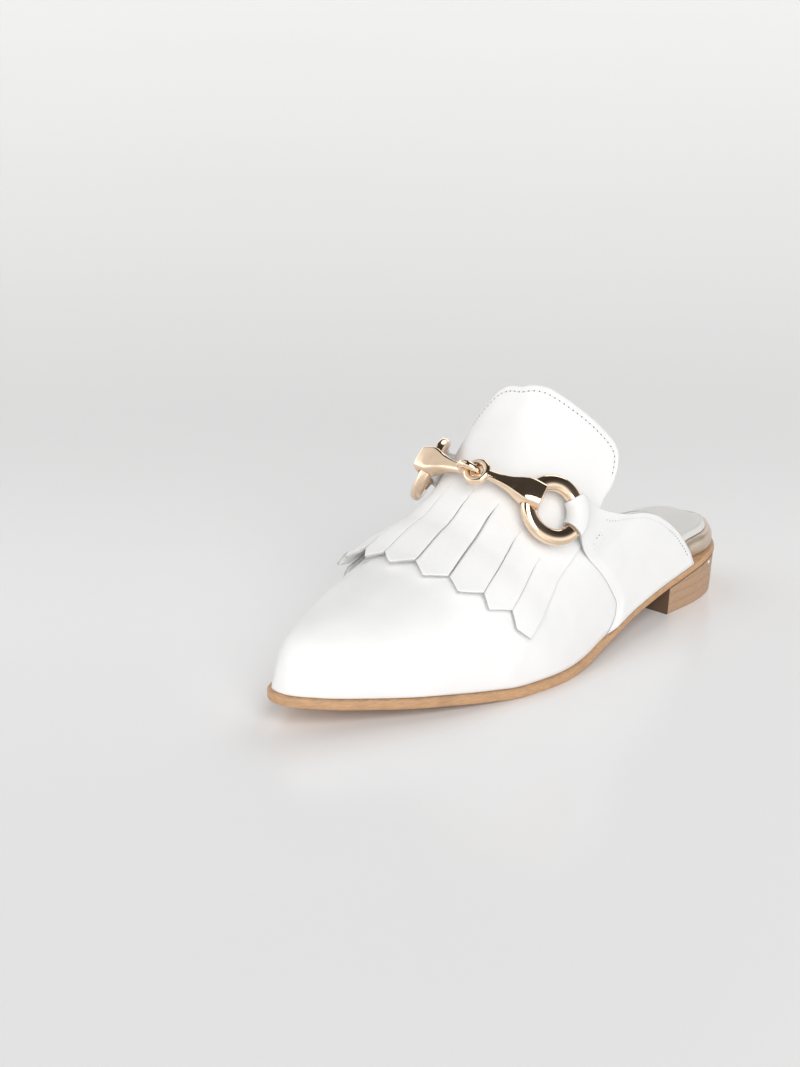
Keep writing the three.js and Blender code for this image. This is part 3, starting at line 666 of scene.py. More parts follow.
def softness(at, across):
    """Low creases and swells of the worked leather, in millimetres off the last."""
    along = np.asarray(at, float) * STATION_LENGTH
    round_it = np.asarray(across, float) * GIRTH
    rise = np.zeros(np.broadcast(along, round_it).shape)
    rows = zip(*(CREASES[name] for name in ("at", "across", "turn", "length", "width", "depth")))
    for crease_at, crease_across, turn, length, width, depth in rows:
        x = along - crease_at * STATION_LENGTH
        y = round_it - crease_across * GIRTH
        angle = math.radians(turn)
        lengthwise = x * math.cos(angle) + y * math.sin(angle)
        crosswise = y * math.cos(angle) - x * math.sin(angle)
        rise = rise + depth * np.exp(-((lengthwise / length) ** 2) - (crosswise / width) ** 2)
    return rise


def upper_shell(finish, wall, rows=132):
    """The vamp with its tongue backing and side lobes, one hollow wall over the last."""
    stretches = (0, 0.18, 34), (0.185, 0.245, 31), (0.25, 0.5, 38)
    across = both_halves(np.concatenate([np.linspace(*stretch) for stretch in stretches]))
    columns = len(across)
    t = (np.arange(rows) / (rows - 1)) ** 1.15
    reach = reach_of(across)
    at = t[:, None] + (reach - 1)[None, :] * t[:, None] ** 4
    grid_across = np.broadcast_to(across, at.shape)
    off_rim = ramp(0, 0.04, np.minimum(across, 1 - across))
    soft = softness(at, grid_across) * ramp(0.03, 0.1, at) * off_rim
    outer = over_last(at, grid_across, soft)
    inner = over_last(at, grid_across, soft - wall)
    for skin in (outer, inner):
        skin[0] = (skin[0] + skin[0][::-1]) / 2
    number = np.arange(rows * columns).reshape(rows, columns)
    number[0] = np.minimum(number[0], number[0][::-1])
    used, numbered = np.unique(cells(number), return_inverse=True)
    skins = (outer.reshape(-1, 3)[used], inner.reshape(-1, 3)[used])
    return new_object("upper_shell", finish, *leather_sheet(*skins, numbered.reshape(-1, 4), 0.35))


def mirrored(rows, names):
    """A table's rows and their mirror images on the inner side."""
    other = {name: 1 - rows[name][::-1] if name in names else rows[name][::-1] for name in rows}
    return {name: np.concatenate([rows[name], other[name]]) for name in rows}


def bow_of_cut(start, end):
    """How far a straight cut bows on the last between two places: the bow of the shortest line."""
    u = np.linspace(0, 1, 40)
    lengths = {}
    for bow in np.linspace(-0.05, 0.05, 101):
        path = last_point(mix(start[0], end[0], u), mix(start[1], end[1], u) + bow * 4 * u * (1 - u))
        lengths[float(bow)] = np.linalg.norm(np.diff(path, axis=0), axis=1).sum()
    return min(lengths, key=lengths.get)


def fringed_tongue(finish, facing, across_steps=7, block_rows=64, strip_rows=34):
    """The tongue's facing over the vamp, slit into nine pointed strips."""
    edges = mirrored(SLITS, ("top_across", "end_across", "tip_across"))
    strips = len(STRIPS["lift"])
    tips = {name: np.delete(edges[name], strips // 2) for name in ("tip_at", "tip_across")}
    tops = both_halves(TONGUE_TOP)
    steps = 2 * across_steps
    share = np.arange(strips * steps + 1) / steps
    knots = np.arange(strips + 1)
    root_across = np.interp(share, knots, edges["top_across"])
    root_at = np.interp(share, knots, edges["top_at"])
    top_across = np.interp(share * 2, np.arange(len(tops)), tops)
    t = (np.arange(block_rows + 1) / block_rows)[:, None]
    at = mix(root_at, reach_of(top_across), t)
    across = mix(root_across, top_across, ramp(0.3, 1, t))
    outer_edge = np.interp(at[:, 0], SIDE_EDGE["at"], SIDE_EDGE["across"])
    lowered = at[:, -1] + INNER_DROP * ramp(0.886, 0.91, at[:, -1])
    inner_edge = 1 - np.interp(lowered, SIDE_EDGE["at"], SIDE_EDGE["across"])
    across = across + (outer_edge - across[:, 0])[:, None] * np.clip(1 - share, 0, 1)
    across = across + (inner_edge - across[:, -1])[:, None] * np.clip(share - strips + 1, 0, 1)
    lift = np.full(at.shape, FACING_GAP) + softness(at, across) * 0.6
    number = np.arange(at.size).reshape(at.shape)
    faces = [cells(number)]
    skins = [(at.ravel(), across.ravel(), lift.ravel())]
    total = at.size
    cuts = zip(*(edges[name] for name in ("top_at", "top_across", "end_at", "end_across")))
    bows = [bow_of_cut(cut[:2], cut[2:]) for cut in cuts]
    openings = (0, *OPENINGS, 0)
    for i in range(strips):
        own = slice(i * steps, (i + 1) * steps + 1)
        v = np.linspace(0, 1, steps + 1)
        u = (np.arange(1, strip_rows + 1) / strip_rows)[:, None]
        ends = []
        for name in ("at", "across"):
            left, right = edges["end_" + name][i:i + 2]
            ends.append(np.interp(v, (0, 0.5, 1), (left, tips["tip_" + name][i], right)))
        end_at = ends[0] - STRIPS["longer"][i]
        strip_at = mix(root_at[own], end_at, u)
        narrowing = mix(openings[i], -openings[i + 1], v) / 2 / GIRTH * ramp(0, 0.3, u)
        bow = mix(bows[i], bows[i + 1], v) * 4 * u * (1 - u)
        strip_across = mix(root_across[own], ends[1], u) + bow + narrowing
        curl = STRIPS["lift"][i] * u ** 2 + STRIPS["twist"][i] * u ** 1.5 * (v - 0.5) * 2
        arch = 0.2 * u * (1 - (2 * v - 1) ** 2)
        strip_lift = FACING_GAP + np.maximum(curl + arch, 0) + softness(strip_at, strip_across) * 0.6
        numbers = total + np.arange(strip_at.size).reshape(strip_at.shape)
        rows = np.concatenate([number[:1, own], numbers])
        faces.append(cells(rows[::-1]))
        skins.append((strip_at.ravel(), strip_across.ravel(), strip_lift.ravel()))
        total += strip_at.size
    at, across, lift = (np.concatenate(values) for values in zip(*skins))
    outer = over_last(at, across, lift + facing)
    inner = over_last(at, across, lift)
    return new_object("fringed_tongue", finish, *leather_sheet(outer, inner, np.concatenate(faces), 0.12))


def ring_frame(side, bit):
    """The plane that a ring rests in: centre, normal, the way to the strap, and the way along it."""

    def skin(at, across):
        share = on_side(side, RING_SEAT["across"] + across)
        return over_last(RING_SEAT["at"] + at, share, FACING_GAP + FACING)

    low = skin(-RING_SEAT["half_at"], 0)
    high = skin(RING_SEAT["half_at"], 0)
    outer = skin(0, -RING_SEAT["half_across"])
    inner = skin(0, RING_SEAT["half_across"])
    normal = unit(np.cross(high - low, inner - outer)) * side
    centre = (low + high) / 2 + normal * (bit.ring_flat / 2 + bit.ring_lift)
    strap = (STRAP["from"] + STRAP["to"]) / 2
    towards = over_last(strap, on_side(side, STRAP["across"]), 5) - centre
    out = unit(towards - normal * np.dot(towards, normal))
    return centre, normal, out, np.cross(normal, out)


def rod_point(ring, radius, turn, lean, wide, thick, square=1.0):
    """A point of a ring's rod: turn goes round the ring, lean round the rod."""
    centre, normal, out, along = ring
    turn, lean = np.broadcast_arrays(np.asarray(turn, float), np.asarray(lean, float))
    spoke = np.cos(turn)[..., None] * out + np.sin(turn)[..., None] * along
    cosine = np.sign(np.cos(lean)) * np.abs(np.cos(lean)) ** square
    sine = np.sign(np.sin(lean)) * np.abs(np.sin(lean)) ** square
    return centre + spoke * (radius + wide * cosine)[..., None] + normal * (thick * sine)[..., None]


def ring_mesh(ring, radius, wide, thick, steps, sides, square=1.0):
    """A closed ring of an oval rod."""
    turns = np.arange(steps + 1)[:, None] / steps * 2 * np.pi
    leans = np.arange(sides)[None, :] / sides * 2 * np.pi
    points = rod_point(ring, radius, turns, leans, wide, thick, square).reshape(-1, 3)
    return points, grid_faces(steps + 1, sides, wrap=True)


def rod_radius(bit):
    """From a ring's middle to the middle of its rod."""
    return (bit.ring_outer - bit.ring_rod) / 2


def bit_ring(ring, bit, room, steps, sides):
    """A ring of the bit, its rod thicker by some room all round."""
    wide = bit.ring_rod / 2 + room
    return ring_mesh(ring, rod_radius(bit), wide, bit.ring_flat / 2 + room, steps, sides, 0.8)


def snaffle_ring(name, side, bit, finish):
    return solid(name, finish, *bit_ring(ring_frame(side, bit), bit, 0, 120, 28))


def snaffle_bar(name, side, bit, finish):
    """A bar from its eye at the middle link to the flared end that the ring passes through."""
    ring = ring_frame(side, bit)
    centre, normal = ring[:2]
    eye_radius = (bit.eye_outer - bit.eye_rod) / 2
    middle = over_last(LINK["at"], LINK["across"], LINK["off"])
    eye_centre = middle + np.array([side * eye_radius / 2, 0, 0])
    lying = last_normal(LINK["at"], LINK["across"])
    standing = np.cross([1, 0, 0], lying)
    eye_normal = lying if side > 0 else standing
    towards = middle - centre
    flat = unit(towards - normal * np.dot(towards, normal))
    grip = centre + flat * rod_radius(bit) + normal * bit.bar_rise
    reach = grip - eye_centre
    eye_out = unit(reach - eye_normal * np.dot(reach, eye_normal))
    start = eye_centre + eye_out * eye_radius
    axis = unit(grip - start)
    end = grip + axis * bit.bar_past
    up = unit(normal - axis * np.dot(normal, axis))
    over = np.cross(up, axis)
    width = curve(BAR_SHAPE, "along", "wide")
    depth = curve(BAR_SHAPE, "along", "thick")
    angles = np.arange(40) / 40 * 2 * np.pi
    rings = []
    caps = [(share, 1.0) for share in np.linspace(0, 0.985, 46)]
    caps += [(0.992, 0.985), (0.997, 0.95), (1.0, 0.89), (1.0, 0.6), (1.0, 0.2)]
    for share, size in caps:
        square = mix(0.85, 0.42, ramp(0.15, 0.7, share))
        wide = bit.bar_flare / 2 * width(share) * size
        thick = bit.bar_thick / 2 * depth(share) * size
        sideways = np.sign(np.cos(angles)) * np.abs(np.cos(angles)) ** square * wide
        upright = np.sign(np.sin(angles)) * np.abs(np.sin(angles)) ** square * thick
        taper = 1 - 0.16 * ramp(0.4, 1, share) * (upright > 0) * upright / max(thick, 1e-6)
        spine = mix(start, end, share)
        rings.append(spine + over * (sideways * taper)[:, None] + up * upright[:, None])
    bar = solid(name, finish, *loft(rings))
    carved(bar, solid("room", finish, *bit_ring(ring, bit, GAP, 96, 24)))
    eye_ring = (eye_centre, eye_normal, eye_out, np.cross(eye_normal, eye_out))
    eye = ring_mesh(eye_ring, eye_radius, bit.eye_rod / 2, bit.eye_rod / 2, 64, 20)
    return merged(bar, solid("eye", finish, *eye))


def carved(piece, tool):
    """Cuts a tool out of a piece, and throws the tool away."""
    cut = piece.modifiers.new("cut", "BOOLEAN")
    cut.operation = "DIFFERENCE"
    cut.solver = "EXACT"
    cut.object = tool
    take_evaluated(piece)
    bpy.data.objects.remove(tool)


def take_evaluated(piece):
    """Puts the evaluated mesh in place of the piece's mesh and takes its modifiers away."""
    evaluated = piece.evaluated_get(bpy.context.evaluated_depsgraph_get())
    mesh = bpy.data.meshes.new_from_object(evaluated)
    piece.modifiers.clear()
    piece.data = mesh


def merged(piece, other):
    """Adds another object's mesh to a piece, and throws that object away."""
    mesh = bmesh.new()
    for part in (piece, other):
        mesh.from_mesh(part.data)
    mesh.to_mesh(piece.data)
    mesh.free()
    bpy.data.objects.remove(other)
    return piece


def side_quarter(name, side, bit, facing, finish):
    """A quarter from the sole up, its strap over the ring's rod, through the ring and back under."""
    ring = ring_frame(side, bit)
    t = np.linspace(0, 1, 49)[:, None]
    strap_starts = 0.105
    body = np.linspace(0, strap_starts, 40)[None, :]
    rising = np.linspace(0, 1, 30)[None, 1:]
    columns = np.concatenate([body, mix(strap_starts, STRAP["across"], rising)], 1)
    share = np.concatenate([0 * body, rising], 1)
    front = mix(seam_of(columns), STRAP["from"], ramp(0.5, 1, share))
    back = mix(reach_of(np.minimum(columns, 0.184)), STRAP["to"], ramp(0.45, 1, share))
    at = mix(front, back, t)
    across = np.broadcast_to(columns, at.shape)

    def from_front(least, width):
        """Rises from least at the front edge to 1, and is 1 all over the strap."""
        return mix(mix(least, 1, ramp(0, width, t)), 1, ramp(0.5, 1, share))

    lift = quarter_lift(across, facing) * from_front(0.15, 0.14)
    soft = softness(at, on_side(side, across)) * ramp(0, 0.03, across) * (1 - share)
    radius = rod_radius(bit)
    spread = bit.strap_width / radius / 2
    turn = side * mix(-spread, spread, t)
    leans = np.linspace(0.8, 4.9, 42)[None, :]
    skins = []
    for off, thick in ((bit.slack + facing, facing), (bit.slack, 0)):
        wrap = rod_point(ring, radius, turn, leans, bit.ring_rod / 2 + off, bit.ring_flat / 2 + off)
        flat = over_last(at, on_side(side, across), lift + soft + thick * from_front(0.3, 0.12))
        flat = mix(flat, wrap[:, :1], (ramp(0.25, 1.35, share) / ramp(0.25, 1.35, 1.0))[..., None])
        skins.append(np.concatenate([flat, wrap], 1))
    faces = grid_faces(*skins[0].shape[:2], flip=side < 0)
    skins = [skin.reshape(-1, 3) for skin in skins]
    return new_object(name, finish, *leather_sheet(*skins, faces, 0.14))


def outsole_layer(finish):
    """The sole with softly rounded edges."""

    def edge_at(along):
        rows = zip(*SOLE_RIM.values())
        low = sole_under(along)
        high = sole_top(along)
        return [(SOLE_EDGE - inset, mix(low, high, share) + more) for inset, share, more in rows]

    return solid("outsole_leather", finish, *rounded_layer(0, 1, 190, edge_at))


def heel_margin(level):
    """How far the heel stands out of the plan outline at a height."""
    return SOLE_EDGE - mix(HEEL_TAPER, 0.3, level / HEEL_RISE)


def stacked_heel(finish, lift):
    """The heel block with the lines of its lifts cut a hair deep and slightly rounded edges."""
    front = 1 - HEEL_LENGTH / SOLE_LENGTH
    turns = mix(turn_of(front), 1, np.linspace(0, 1, 90) ** 0.9)
    top = sole_under(along_of(turns, 1)) - GAP
    profile = [(0, 0.35), (0.18, 0.1), (0.5, 0)]
    for line in np.arange(lift, HEEL_RISE - 3, lift):
        profile += [(line - 0.3, 0), (line, 0.16), (line + 0.3, 0)]
    profile += [(HEEL_RISE * 0.9, 0), (HEEL_RISE - 0.7, 0), (HEEL_RISE, 0)]
    rings = []
    for side in (-1, 1):
        for level, groove in profile if side < 0 else profile[::-1]:
            flat = plan_point(turns, side, heel_margin(level) - groove)
            flat[:, 1] = np.maximum(flat[:, 1], SOLE_LENGTH * front)
            rings.append(np.concatenate([flat, np.minimum(top, level)[:, None]], 1))
    heel = solid("stacked_heel", finish, *loft(np.stack(rings, 1)))
    sharp = heel.modifiers.new("sharp", "EDGE_SPLIT")
    sharp.split_angle = math.radians(50)
    take_evaluated(heel)
    return heel


def footbed_inset(along):
    return mix(-(UPPER_WALL + 2 * GAP), 0.5, ramp(0.872, 0.925, along))


def footbed_top(along):
    return sole_top(along) + GAP + mix(FOOTBED_TOE, FOOTBED_HEEL, ramp(0.35, 0.92, along))


def wrapped_footbed(finish):
    """The board wrapped in pearl leather: a rounded roll on its upper edge."""

    def edge_at(along):
        inset = footbed_inset(along)
        top = footbed_top(along)
        under = sole_top(along) + GAP
        edge = [(inset - 7, top)]
        for angle in np.radians(np.linspace(90, 0, 9)):
            down = 3.2 * (1 - np.sin(angle))
            edge.append((inset - 3.4 * (1 - np.cos(angle)), top - down * (ramp(0.3, 0.9, along) + 0.2)))
        return [*edge, (inset - 0.1, under + 1.1), (inset - 0.5, under + 0.3), (inset - 1.2, under)]

    return solid("wrapped_footbed", finish, *rounded_layer(0.03, 1, 170, edge_at))


def padded_sock(finish, thickness):
    """The padded lining sock: a rolled edge, a soft crown, and a shallow cup for the heel."""
    rows = 120
    turns = mix(turn_of(0.045), turn_of(0.985), np.linspace(0, 1, rows))
    rims = {}
    for side in (1, -1):
        along = along_of(turns, side)
        inset = footbed_inset(along) - mix(0.8, SOCK_MARGIN + 0.3, ramp(0.76, 0.9, along))
        rims[side] = (plan_point(turns, side, inset), along)
    across = np.linspace(-1, 1, 49)
    half = (across + 1)[None, :, None] / 2
    flat = rims[-1][0][:, None, :] * (1 - half) + rims[1][0][:, None, :] * half
    along = rims[1][1][:, None]
    low = footbed_top(along) + GAP
    to_side = 1 - np.abs(across)[None, :]
    to_end = np.minimum(np.arange(rows), rows - 1 - np.arange(rows))[:, None] / 9
    roll = np.minimum(np.clip(to_side * 12, 0, 1), np.clip(to_end, 0, 1))
    roll = np.sqrt(np.clip(1 - (1 - roll) ** 2, 0, 1))
    cup = 0.9 * np.exp(-(((along - 0.9) / 0.07) ** 2)) * (1 - across[None, :] ** 2) ** 1.5
    quilt = 0.25 * np.exp(-(((to_side - 0.16) / 0.05) ** 2)) * ramp(0.82, 0.9, along)
    height = low + thickness * (0.25 + 0.75 * roll) - cup * roll - quilt
    top = np.concatenate([flat, height[..., None]], -1)
    floor = np.concatenate([flat, np.broadcast_to(low, height.shape)[..., None]], -1)
    faces = grid_faces(rows, len(across), flip=True)
    points, faces, marks = leather_sheet(top.reshape(-1, 3), floor.reshape(-1, 3), faces, 0.35)
    return solid("padded_sock", finish, points, faces, {name: 0 * mark for name, mark in marks.items()})


def stitch_tree():
    """Geometry nodes that lay one small shape after another along a seam."""
    tree = bpy.data.node_groups.new("Along a seam", "GeometryNodeTree")
    sockets = tree.interface
    sockets.new_socket("Seam", in_out="INPUT", socket_type="NodeSocketGeometry")
    for name in ("Pitch", "Length", "Width", "Height"):
        sockets.new_socket(name, in_out="INPUT", socket_type="NodeSocketFloat")
    sockets.new_socket("Finish", in_out="INPUT", socket_type="NodeSocketMaterial")
    sockets.new_socket("Stitches", in_out="OUTPUT", socket_type="NodeSocketGeometry")

    def node(kind, settings=None, values=None):
        return add_node(tree, kind, settings, values)

    given = node("NodeGroupInput")
    path = node("GeometryNodeMeshToCurve", None, {"Mesh": given["Seam"]})
    spacing = {"Curve": path["Curve"], "Length": given["Pitch"]}
    points = node("GeometryNodeResampleCurve", {"mode": "LENGTH"}, spacing)
    up = node("GeometryNodeInputNamedAttribute", {"data_type": "FLOAT_VECTOR"}, {"Name": "up"})
    tangent = node("GeometryNodeInputTangent")
    lying = node("FunctionNodeAlignRotationToVector", {"axis": "X"}, {"Vector": tangent["Tangent"]})
    turned = node(
        "FunctionNodeAlignRotationToVector",
        {"axis": "Z", "pivot_axis": "X"},
        {"Rotation": lying["Rotation"], "Vector": up["Attribute"]},
    )
    spread = {"Min": 0.92, "Max": 1.06, "Seed": 11}
    uneven = node("FunctionNodeRandomValue", {"data_type": "FLOAT"}, spread)
    length = node("ShaderNodeMath", {"operation": "MULTIPLY"}, {0: given["Length"], 1: uneven["Value"]})
    sizes = {"X": length["Value"], "Y": given["Width"], "Z": given["Height"]}
    size = node("ShaderNodeCombineXYZ", None, sizes)
    shape = node("GeometryNodeMeshIcoSphere", None, {"Radius": 0.5, "Subdivisions": 2})
    placing = {"Points": points["Curve"], "Instance": shape["Mesh"]}
    placing |= {"Rotation": turned["Rotation"], "Scale": size["Vector"]}
    placed = node("GeometryNodeInstanceOnPoints", None, placing)
    real = node("GeometryNodeRealizeInstances", None, {"Geometry": placed["Instances"]})
    smooth = node("GeometryNodeSetShadeSmooth", None, {"Geometry": real["Geometry"]})
    thread_given = {"Geometry": smooth["Geometry"], "Material": given["Finish"]}
    finished = node("GeometryNodeSetMaterial", None, thread_given)
    tree.links.new(finished["Geometry"], tree.nodes.new("NodeGroupOutput").inputs["Stitches"])
    return tree


def sewn(name, seams, tree, finish, pitch, length, width, height):
    """One piece of stitches along several seams, each a list of points and of directions up."""
    mesh = bpy.data.meshes.new(name)
    points = []
    ups = []
    edges = []
    for seam_points, seam_ups in seams:
        first = len(points)
        points += place(seam_points).tolist()
        ups += np.asarray(seam_ups, float).tolist()
        edges += [(first + i, first + i + 1) for i in range(len(seam_points) - 1)]
    mesh.from_pydata(points, edges, [])
    layer = mesh.attributes.new("up", "FLOAT_VECTOR", "POINT")
    layer.data.foreach_set("vector", np.asarray(ups, np.float32).ravel())
    piece = bpy.data.objects.new(name, mesh)
    bpy.context.scene.collection.objects.link(piece)
    nodes = piece.modifiers.new("stitches", "NODES")
    nodes.node_group = tree
    values = {"Pitch": pitch, "Length": length, "Width": width, "Height": height, "Finish": finish}
    for item in tree.interface.items_tree:
        if item.in_out == "INPUT" and item.name in values:
            value = values[item.name]
            nodes[item.identifier] = value if item.name == "Finish" else value * MM
    take_evaluated(piece)
    if not piece.data.polygons:
        raise RuntimeError(f"{name} has no stitches")
    return piece


def beside(at, across, distance):
    """Moves a path on the last to its left by millimetres, along the surface."""
    step = 0.001
    outer = np.maximum(across - step, 0)
    ahead = (last_point(at + step, across) - last_point(at - step, across)) / (2 * step)
    over = last_point(at, across + step) - last_point(at, outer)
    over /= (across + step - outer)[:, None]
    way = unit(np.gradient(last_point(at, across), axis=0))
    left = np.cross(last_normal(at, across), way) * distance
    aa = (ahead * ahead).sum(1)
    oo = (over * over).sum(1)
    ao = (ahead * over).sum(1)
    a = (ahead * left).sum(1)
    o = (over * left).sum(1)
    room = aa * oo - ao * ao
    return at + (a * oo - o * ao) / room, across + (o * aa - a * ao) / room


def quarter_lift(across, facing):
    return FACING_GAP + (FACING_GAP + facing) * ramp(0.12, 0.165, across)


def laid_on(piece, points, rise):
    """Drops a seam's points on the nearest outside of a piece: points and directions up."""
    laid = []
    ups = []
    for point in place(points):
        found, spot, normal = piece.closest_point_on_mesh(Vector(point))[:3]
        if not found:
            raise RuntimeError("a seam finds no leather under it")
        laid.append(np.array(spot) / MM + ORIGIN + np.array(normal) * rise)
        ups.append(np.array(normal))
    return np.array(laid), np.array(ups)


def tongue_seam(facing):
    """The row round the tongue's free edge, from the notch over the ridge and down again."""
    across = both_halves(np.linspace(0.205, 0.5, 90))
    at, across = beside(reach_of(across), across, 2.6)
    seam = (at[at > 0.91], across[at > 0.91])
    return over_last(*seam, FACING_GAP + facing + 0.05), last_normal(*seam)


def quarter_seams(piece, side, facing):
    """The row along the topline of a quarter, and the short box that holds the strap."""
    top = np.linspace(0.012, 0.178, 70)
    box = table("at across", (0.79, 0.148), (0.81, 0.166), (0.836, 0.166), (0.836, 0.146))
    rows = [beside(reach_of(top), top, 2.2), (box["at"], box["across"])]
    seams = []
    for at, across in rows:
        lift = quarter_lift(across, facing) + facing + 5 * ramp(0.11, 0.15, across)
        seams.append(laid_on(piece, over_last(at, on_side(side, across), lift), 0.05))
    return seams


def round_nail(name, centre, normal, radius, rise, finish):
    """A low domed nail head."""
    side = unit(np.cross(normal, [0, 0, 1]))
    other = np.cross(normal, side)
    rings = []
    for angle in np.linspace(0, 88, 9):
        out = radius * math.cos(math.radians(angle))
        high = rise * math.sin(math.radians(angle))
        turns = np.arange(24)[:, None] / 24 * 2 * np.pi
        rings.append(centre + (np.cos(turns) * side + np.sin(turns) * other) * out + normal * high)
    rings.insert(0, rings[0] - normal * 0.6)
    return solid(name, finish, *loft(rings))


def heel_nail(finish):
    turn = turn_of(NAIL["along"])
    flat, ahead = plan_point(np.array([turn, turn + 0.01]), 1, heel_margin(NAIL["height"]))
    way = unit(ahead - flat)
    centre = np.array([*flat, NAIL["height"]])
    normal = np.array([way[1], -way[0], 0])
    return round_nail("heel_nail", centre, normal, NAIL["radius"], 0.35, finish)


# Stage: the camera's place in metres, its two angles in radians, and its lens in millimetres.
EYE = (0.5836, -0.6715, 0.3532)
HEADING = 0.7701
DIP = 0.3279
LENS = 74.2
# The lamps: where each shines from, how strong it is, and how wide in degrees.
LAMPS = {
    "left": ((-0.9, -0.4, 0.68), 0.98, 80),
    "right": ((0.85, -0.55, 0.7), 2.05, 46),
    "back": ((-0.2, 0.9, 0.75), 0.5, 30),
}
ROOM_LIGHT = 1.32


def floor_finish(tone):
    """Pale glossy board whose colour darkens away from the camera as a painted light falloff."""
    recipe = Recipe("pale floor")
    cloud = recipe.noise(recipe.coordinates(), 420, 2, 0.5)
    away = recipe.place_along("Y") * math.cos(HEADING) - recipe.place_along("X") * math.sin(HEADING)
    base = recipe.blend(cloud, colour(tone), colour(tone, 0.985))
    # Painted light falloff: the colour darkens with distance from the camera.
    base = recipe.blend(away.between(-0.02, 0.42), base, colour(tone, 0.76))
    return recipe.finish(base=base, rough=cloud * 0.03 + 0.2, shine=0.35)


def soft_sun(name, from_where, strength, spread):
    """A wide soft lamp far away."""
    light = bpy.data.lights.new(name, "SUN")
    light.energy = strength
    light.angle = math.radians(spread)
    holder = bpy.data.objects.new(name, light)
    holder.rotation_euler = Vector(from_where).to_track_quat("Z", "Y").to_euler()
    bpy.context.scene.collection.objects.link(holder)


def studio_room(strength):
    """A room with bright walls and a dark ceiling, as the bit mirrors them."""
    world = bpy.data.worlds.new("studio")
    world.use_nodes = True
    tree = world.node_tree
    where = add_node(tree, "ShaderNodeTexCoord")["Generated"]
    height = add_node(tree, "ShaderNodeSeparateXYZ", None, {0: where})["Z"]
    shade = tree.nodes.new("ShaderNodeValToRGB")
    stops = shade.color_ramp.elements
    stops[0].position, stops[0].color = 0.0, (0.9, 0.9, 0.9, 1)
    stops[1].position, stops[1].color = 1.0, (0.05, 0.045, 0.04, 1)
    for position, level in ((0.22, 1.0), (0.36, 0.62), (0.46, 0.09), (0.65, 0.03)):
        stop = stops.new(position)
        stop.color = (level, level * 0.99, level * 0.98, 1)
    fill_sockets(tree, shade, {"Fac": height})
    values = {"Color": shade.outputs["Color"], "Strength": strength}
    fill_sockets(tree, tree.nodes["Background"], values)
    bpy.context.scene.world = world


def camera_of_the_view():
    data = bpy.data.cameras.new("camera")
    data.lens = LENS
    data.sensor_width = 36
    data.sensor_fit = "AUTO"
    data.clip_end = 60
    holder = bpy.data.objects.new("camera", data)
    level = math.cos(DIP)
    forward = Vector((-math.sin(HEADING) * level, math.cos(HEADING) * level, -math.sin(DIP)))
    holder.location = EYE
    holder.rotation_euler = forward.to_track_quat("-Z", "Y").to_euler()
    bpy.context.scene.collection.objects.link(holder)
    bpy.context.scene.camera = holder


# Settings that a user would change.
def length_setting(name, description, usual, low=0.0):
    """A length whose default and lowest value are given in millimetres."""
    given = {"default": usual * MM, "min": low * MM, "precision": 4, "unit": "LENGTH"}
    return bpy.props.FloatProperty(name=name, description=description, **given)


def tint_setting(name, description, tone):
    given = {"default": tone, "size": 3, "min": 0, "max": 1, "subtype": "COLOR"}
    return bpy.props.FloatVectorProperty(name=name, description=description, **given)


class MuleLeather(bpy.types.PropertyGroup):
    tone: tint_setting("White leather", "Colour of the upper, tongue and quarters", (0.87, 0.87, 0.865))
    lining: tint_setting("Lining", "Colour of the lining inside the upper", (0.8, 0.74, 0.7))
    raw: tint_setting("Cut edge", "Colour of the leather's cut edge", (0.62, 0.62, 0.6))
    facing: length_setting("Facing", "Thickness of the tongue and quarter leather", FACING, 0.4)
    wall: length_setting("Upper", "Thickness of the lined upper", UPPER_WALL, 0.6)
    grain: length_setting("Grain", "Size of the leather's pores", 0.55, 0.1)


class MuleSole(bpy.types.PropertyGroup):
    edge: tint_setting("Sole", "Colour of the sole leather", (0.62, 0.37, 0.2))
    stack: tint_setting("Heel", "Colour of the stacked heel", (0.48, 0.31, 0.195))
    lift: length_setting("Lift", "Height of one lift of the heel", 4.4, 2.0)


class MuleFootbed(bpy.types.PropertyGroup):
    pearl: tint_setting("Pearl band", "Colour of the wrapped footbed", (0.56, 0.47, 0.38))
    sock: tint_setting("Sock", "Colour of the padded sock", (0.74, 0.735, 0.71))
    padding: length_setting("Padding", "Thickness of the padded sock", 2.2, 1.0)


class MuleBit(bpy.types.PropertyGroup):
    metal: tint_setting("Metal", "Colour of the polished bit", (0.88, 0.68, 0.5))
    ring_outer: length_setting("Ring", "Outer diameter of a ring", 30, 20)
    ring_rod: length_setting("Rod width", "Width of a ring's rod", 6.8, 3)
    ring_flat: length_setting("Rod depth", "Depth of a ring's rod", 5.4, 2)
    ring_lift: length_setting("Ring lift", "How far a ring lies off the leather", 3.3)
    eye_outer: length_setting("Eye", "Outer diameter of a link's eye", 12, 8)
    eye_rod: length_setting("Eye rod", "Thickness of an eye", 3.4, 2)
    bar_flare: length_setting("Bar end", "Width of a bar's flared end", 12.5, 8)
    bar_thick: length_setting("Bar depth", "Depth of a bar's flared end", 8.2, 4)
    bar_rise: length_setting("Bar rise", "How far a bar's axis lies above the ring's middle", 0.9)
    bar_past: length_setting("Bar end past the ring", "How far a bar goes past the rod's middle", 4.6)
    slack: length_setting("Slack", "Room between the strap and the rod", 0.35)
    strap_width: length_setting("Strap", "Width of the strap round a ring", 15, 8)


class MuleStitch(bpy.types.PropertyGroup):
    tone: tint_setting("Thread", "Colour of the thread", (0.86, 0.86, 0.85))
    pitch: length_setting("Pitch", "From one stitch to the next", 2.3, 1.0)
    thick: length_setting("Thread size", "Thickness of the thread", 0.55, 0.2)


class MuleStage(bpy.types.PropertyGroup):
    floor: tint_setting("Floor", "Colour of the floor", (0.93, 0.93, 0.935))
    light: bpy.props.FloatProperty(
        name="Light", description="Strength of all lamps", default=1.0, min=0.1, max=4
    )


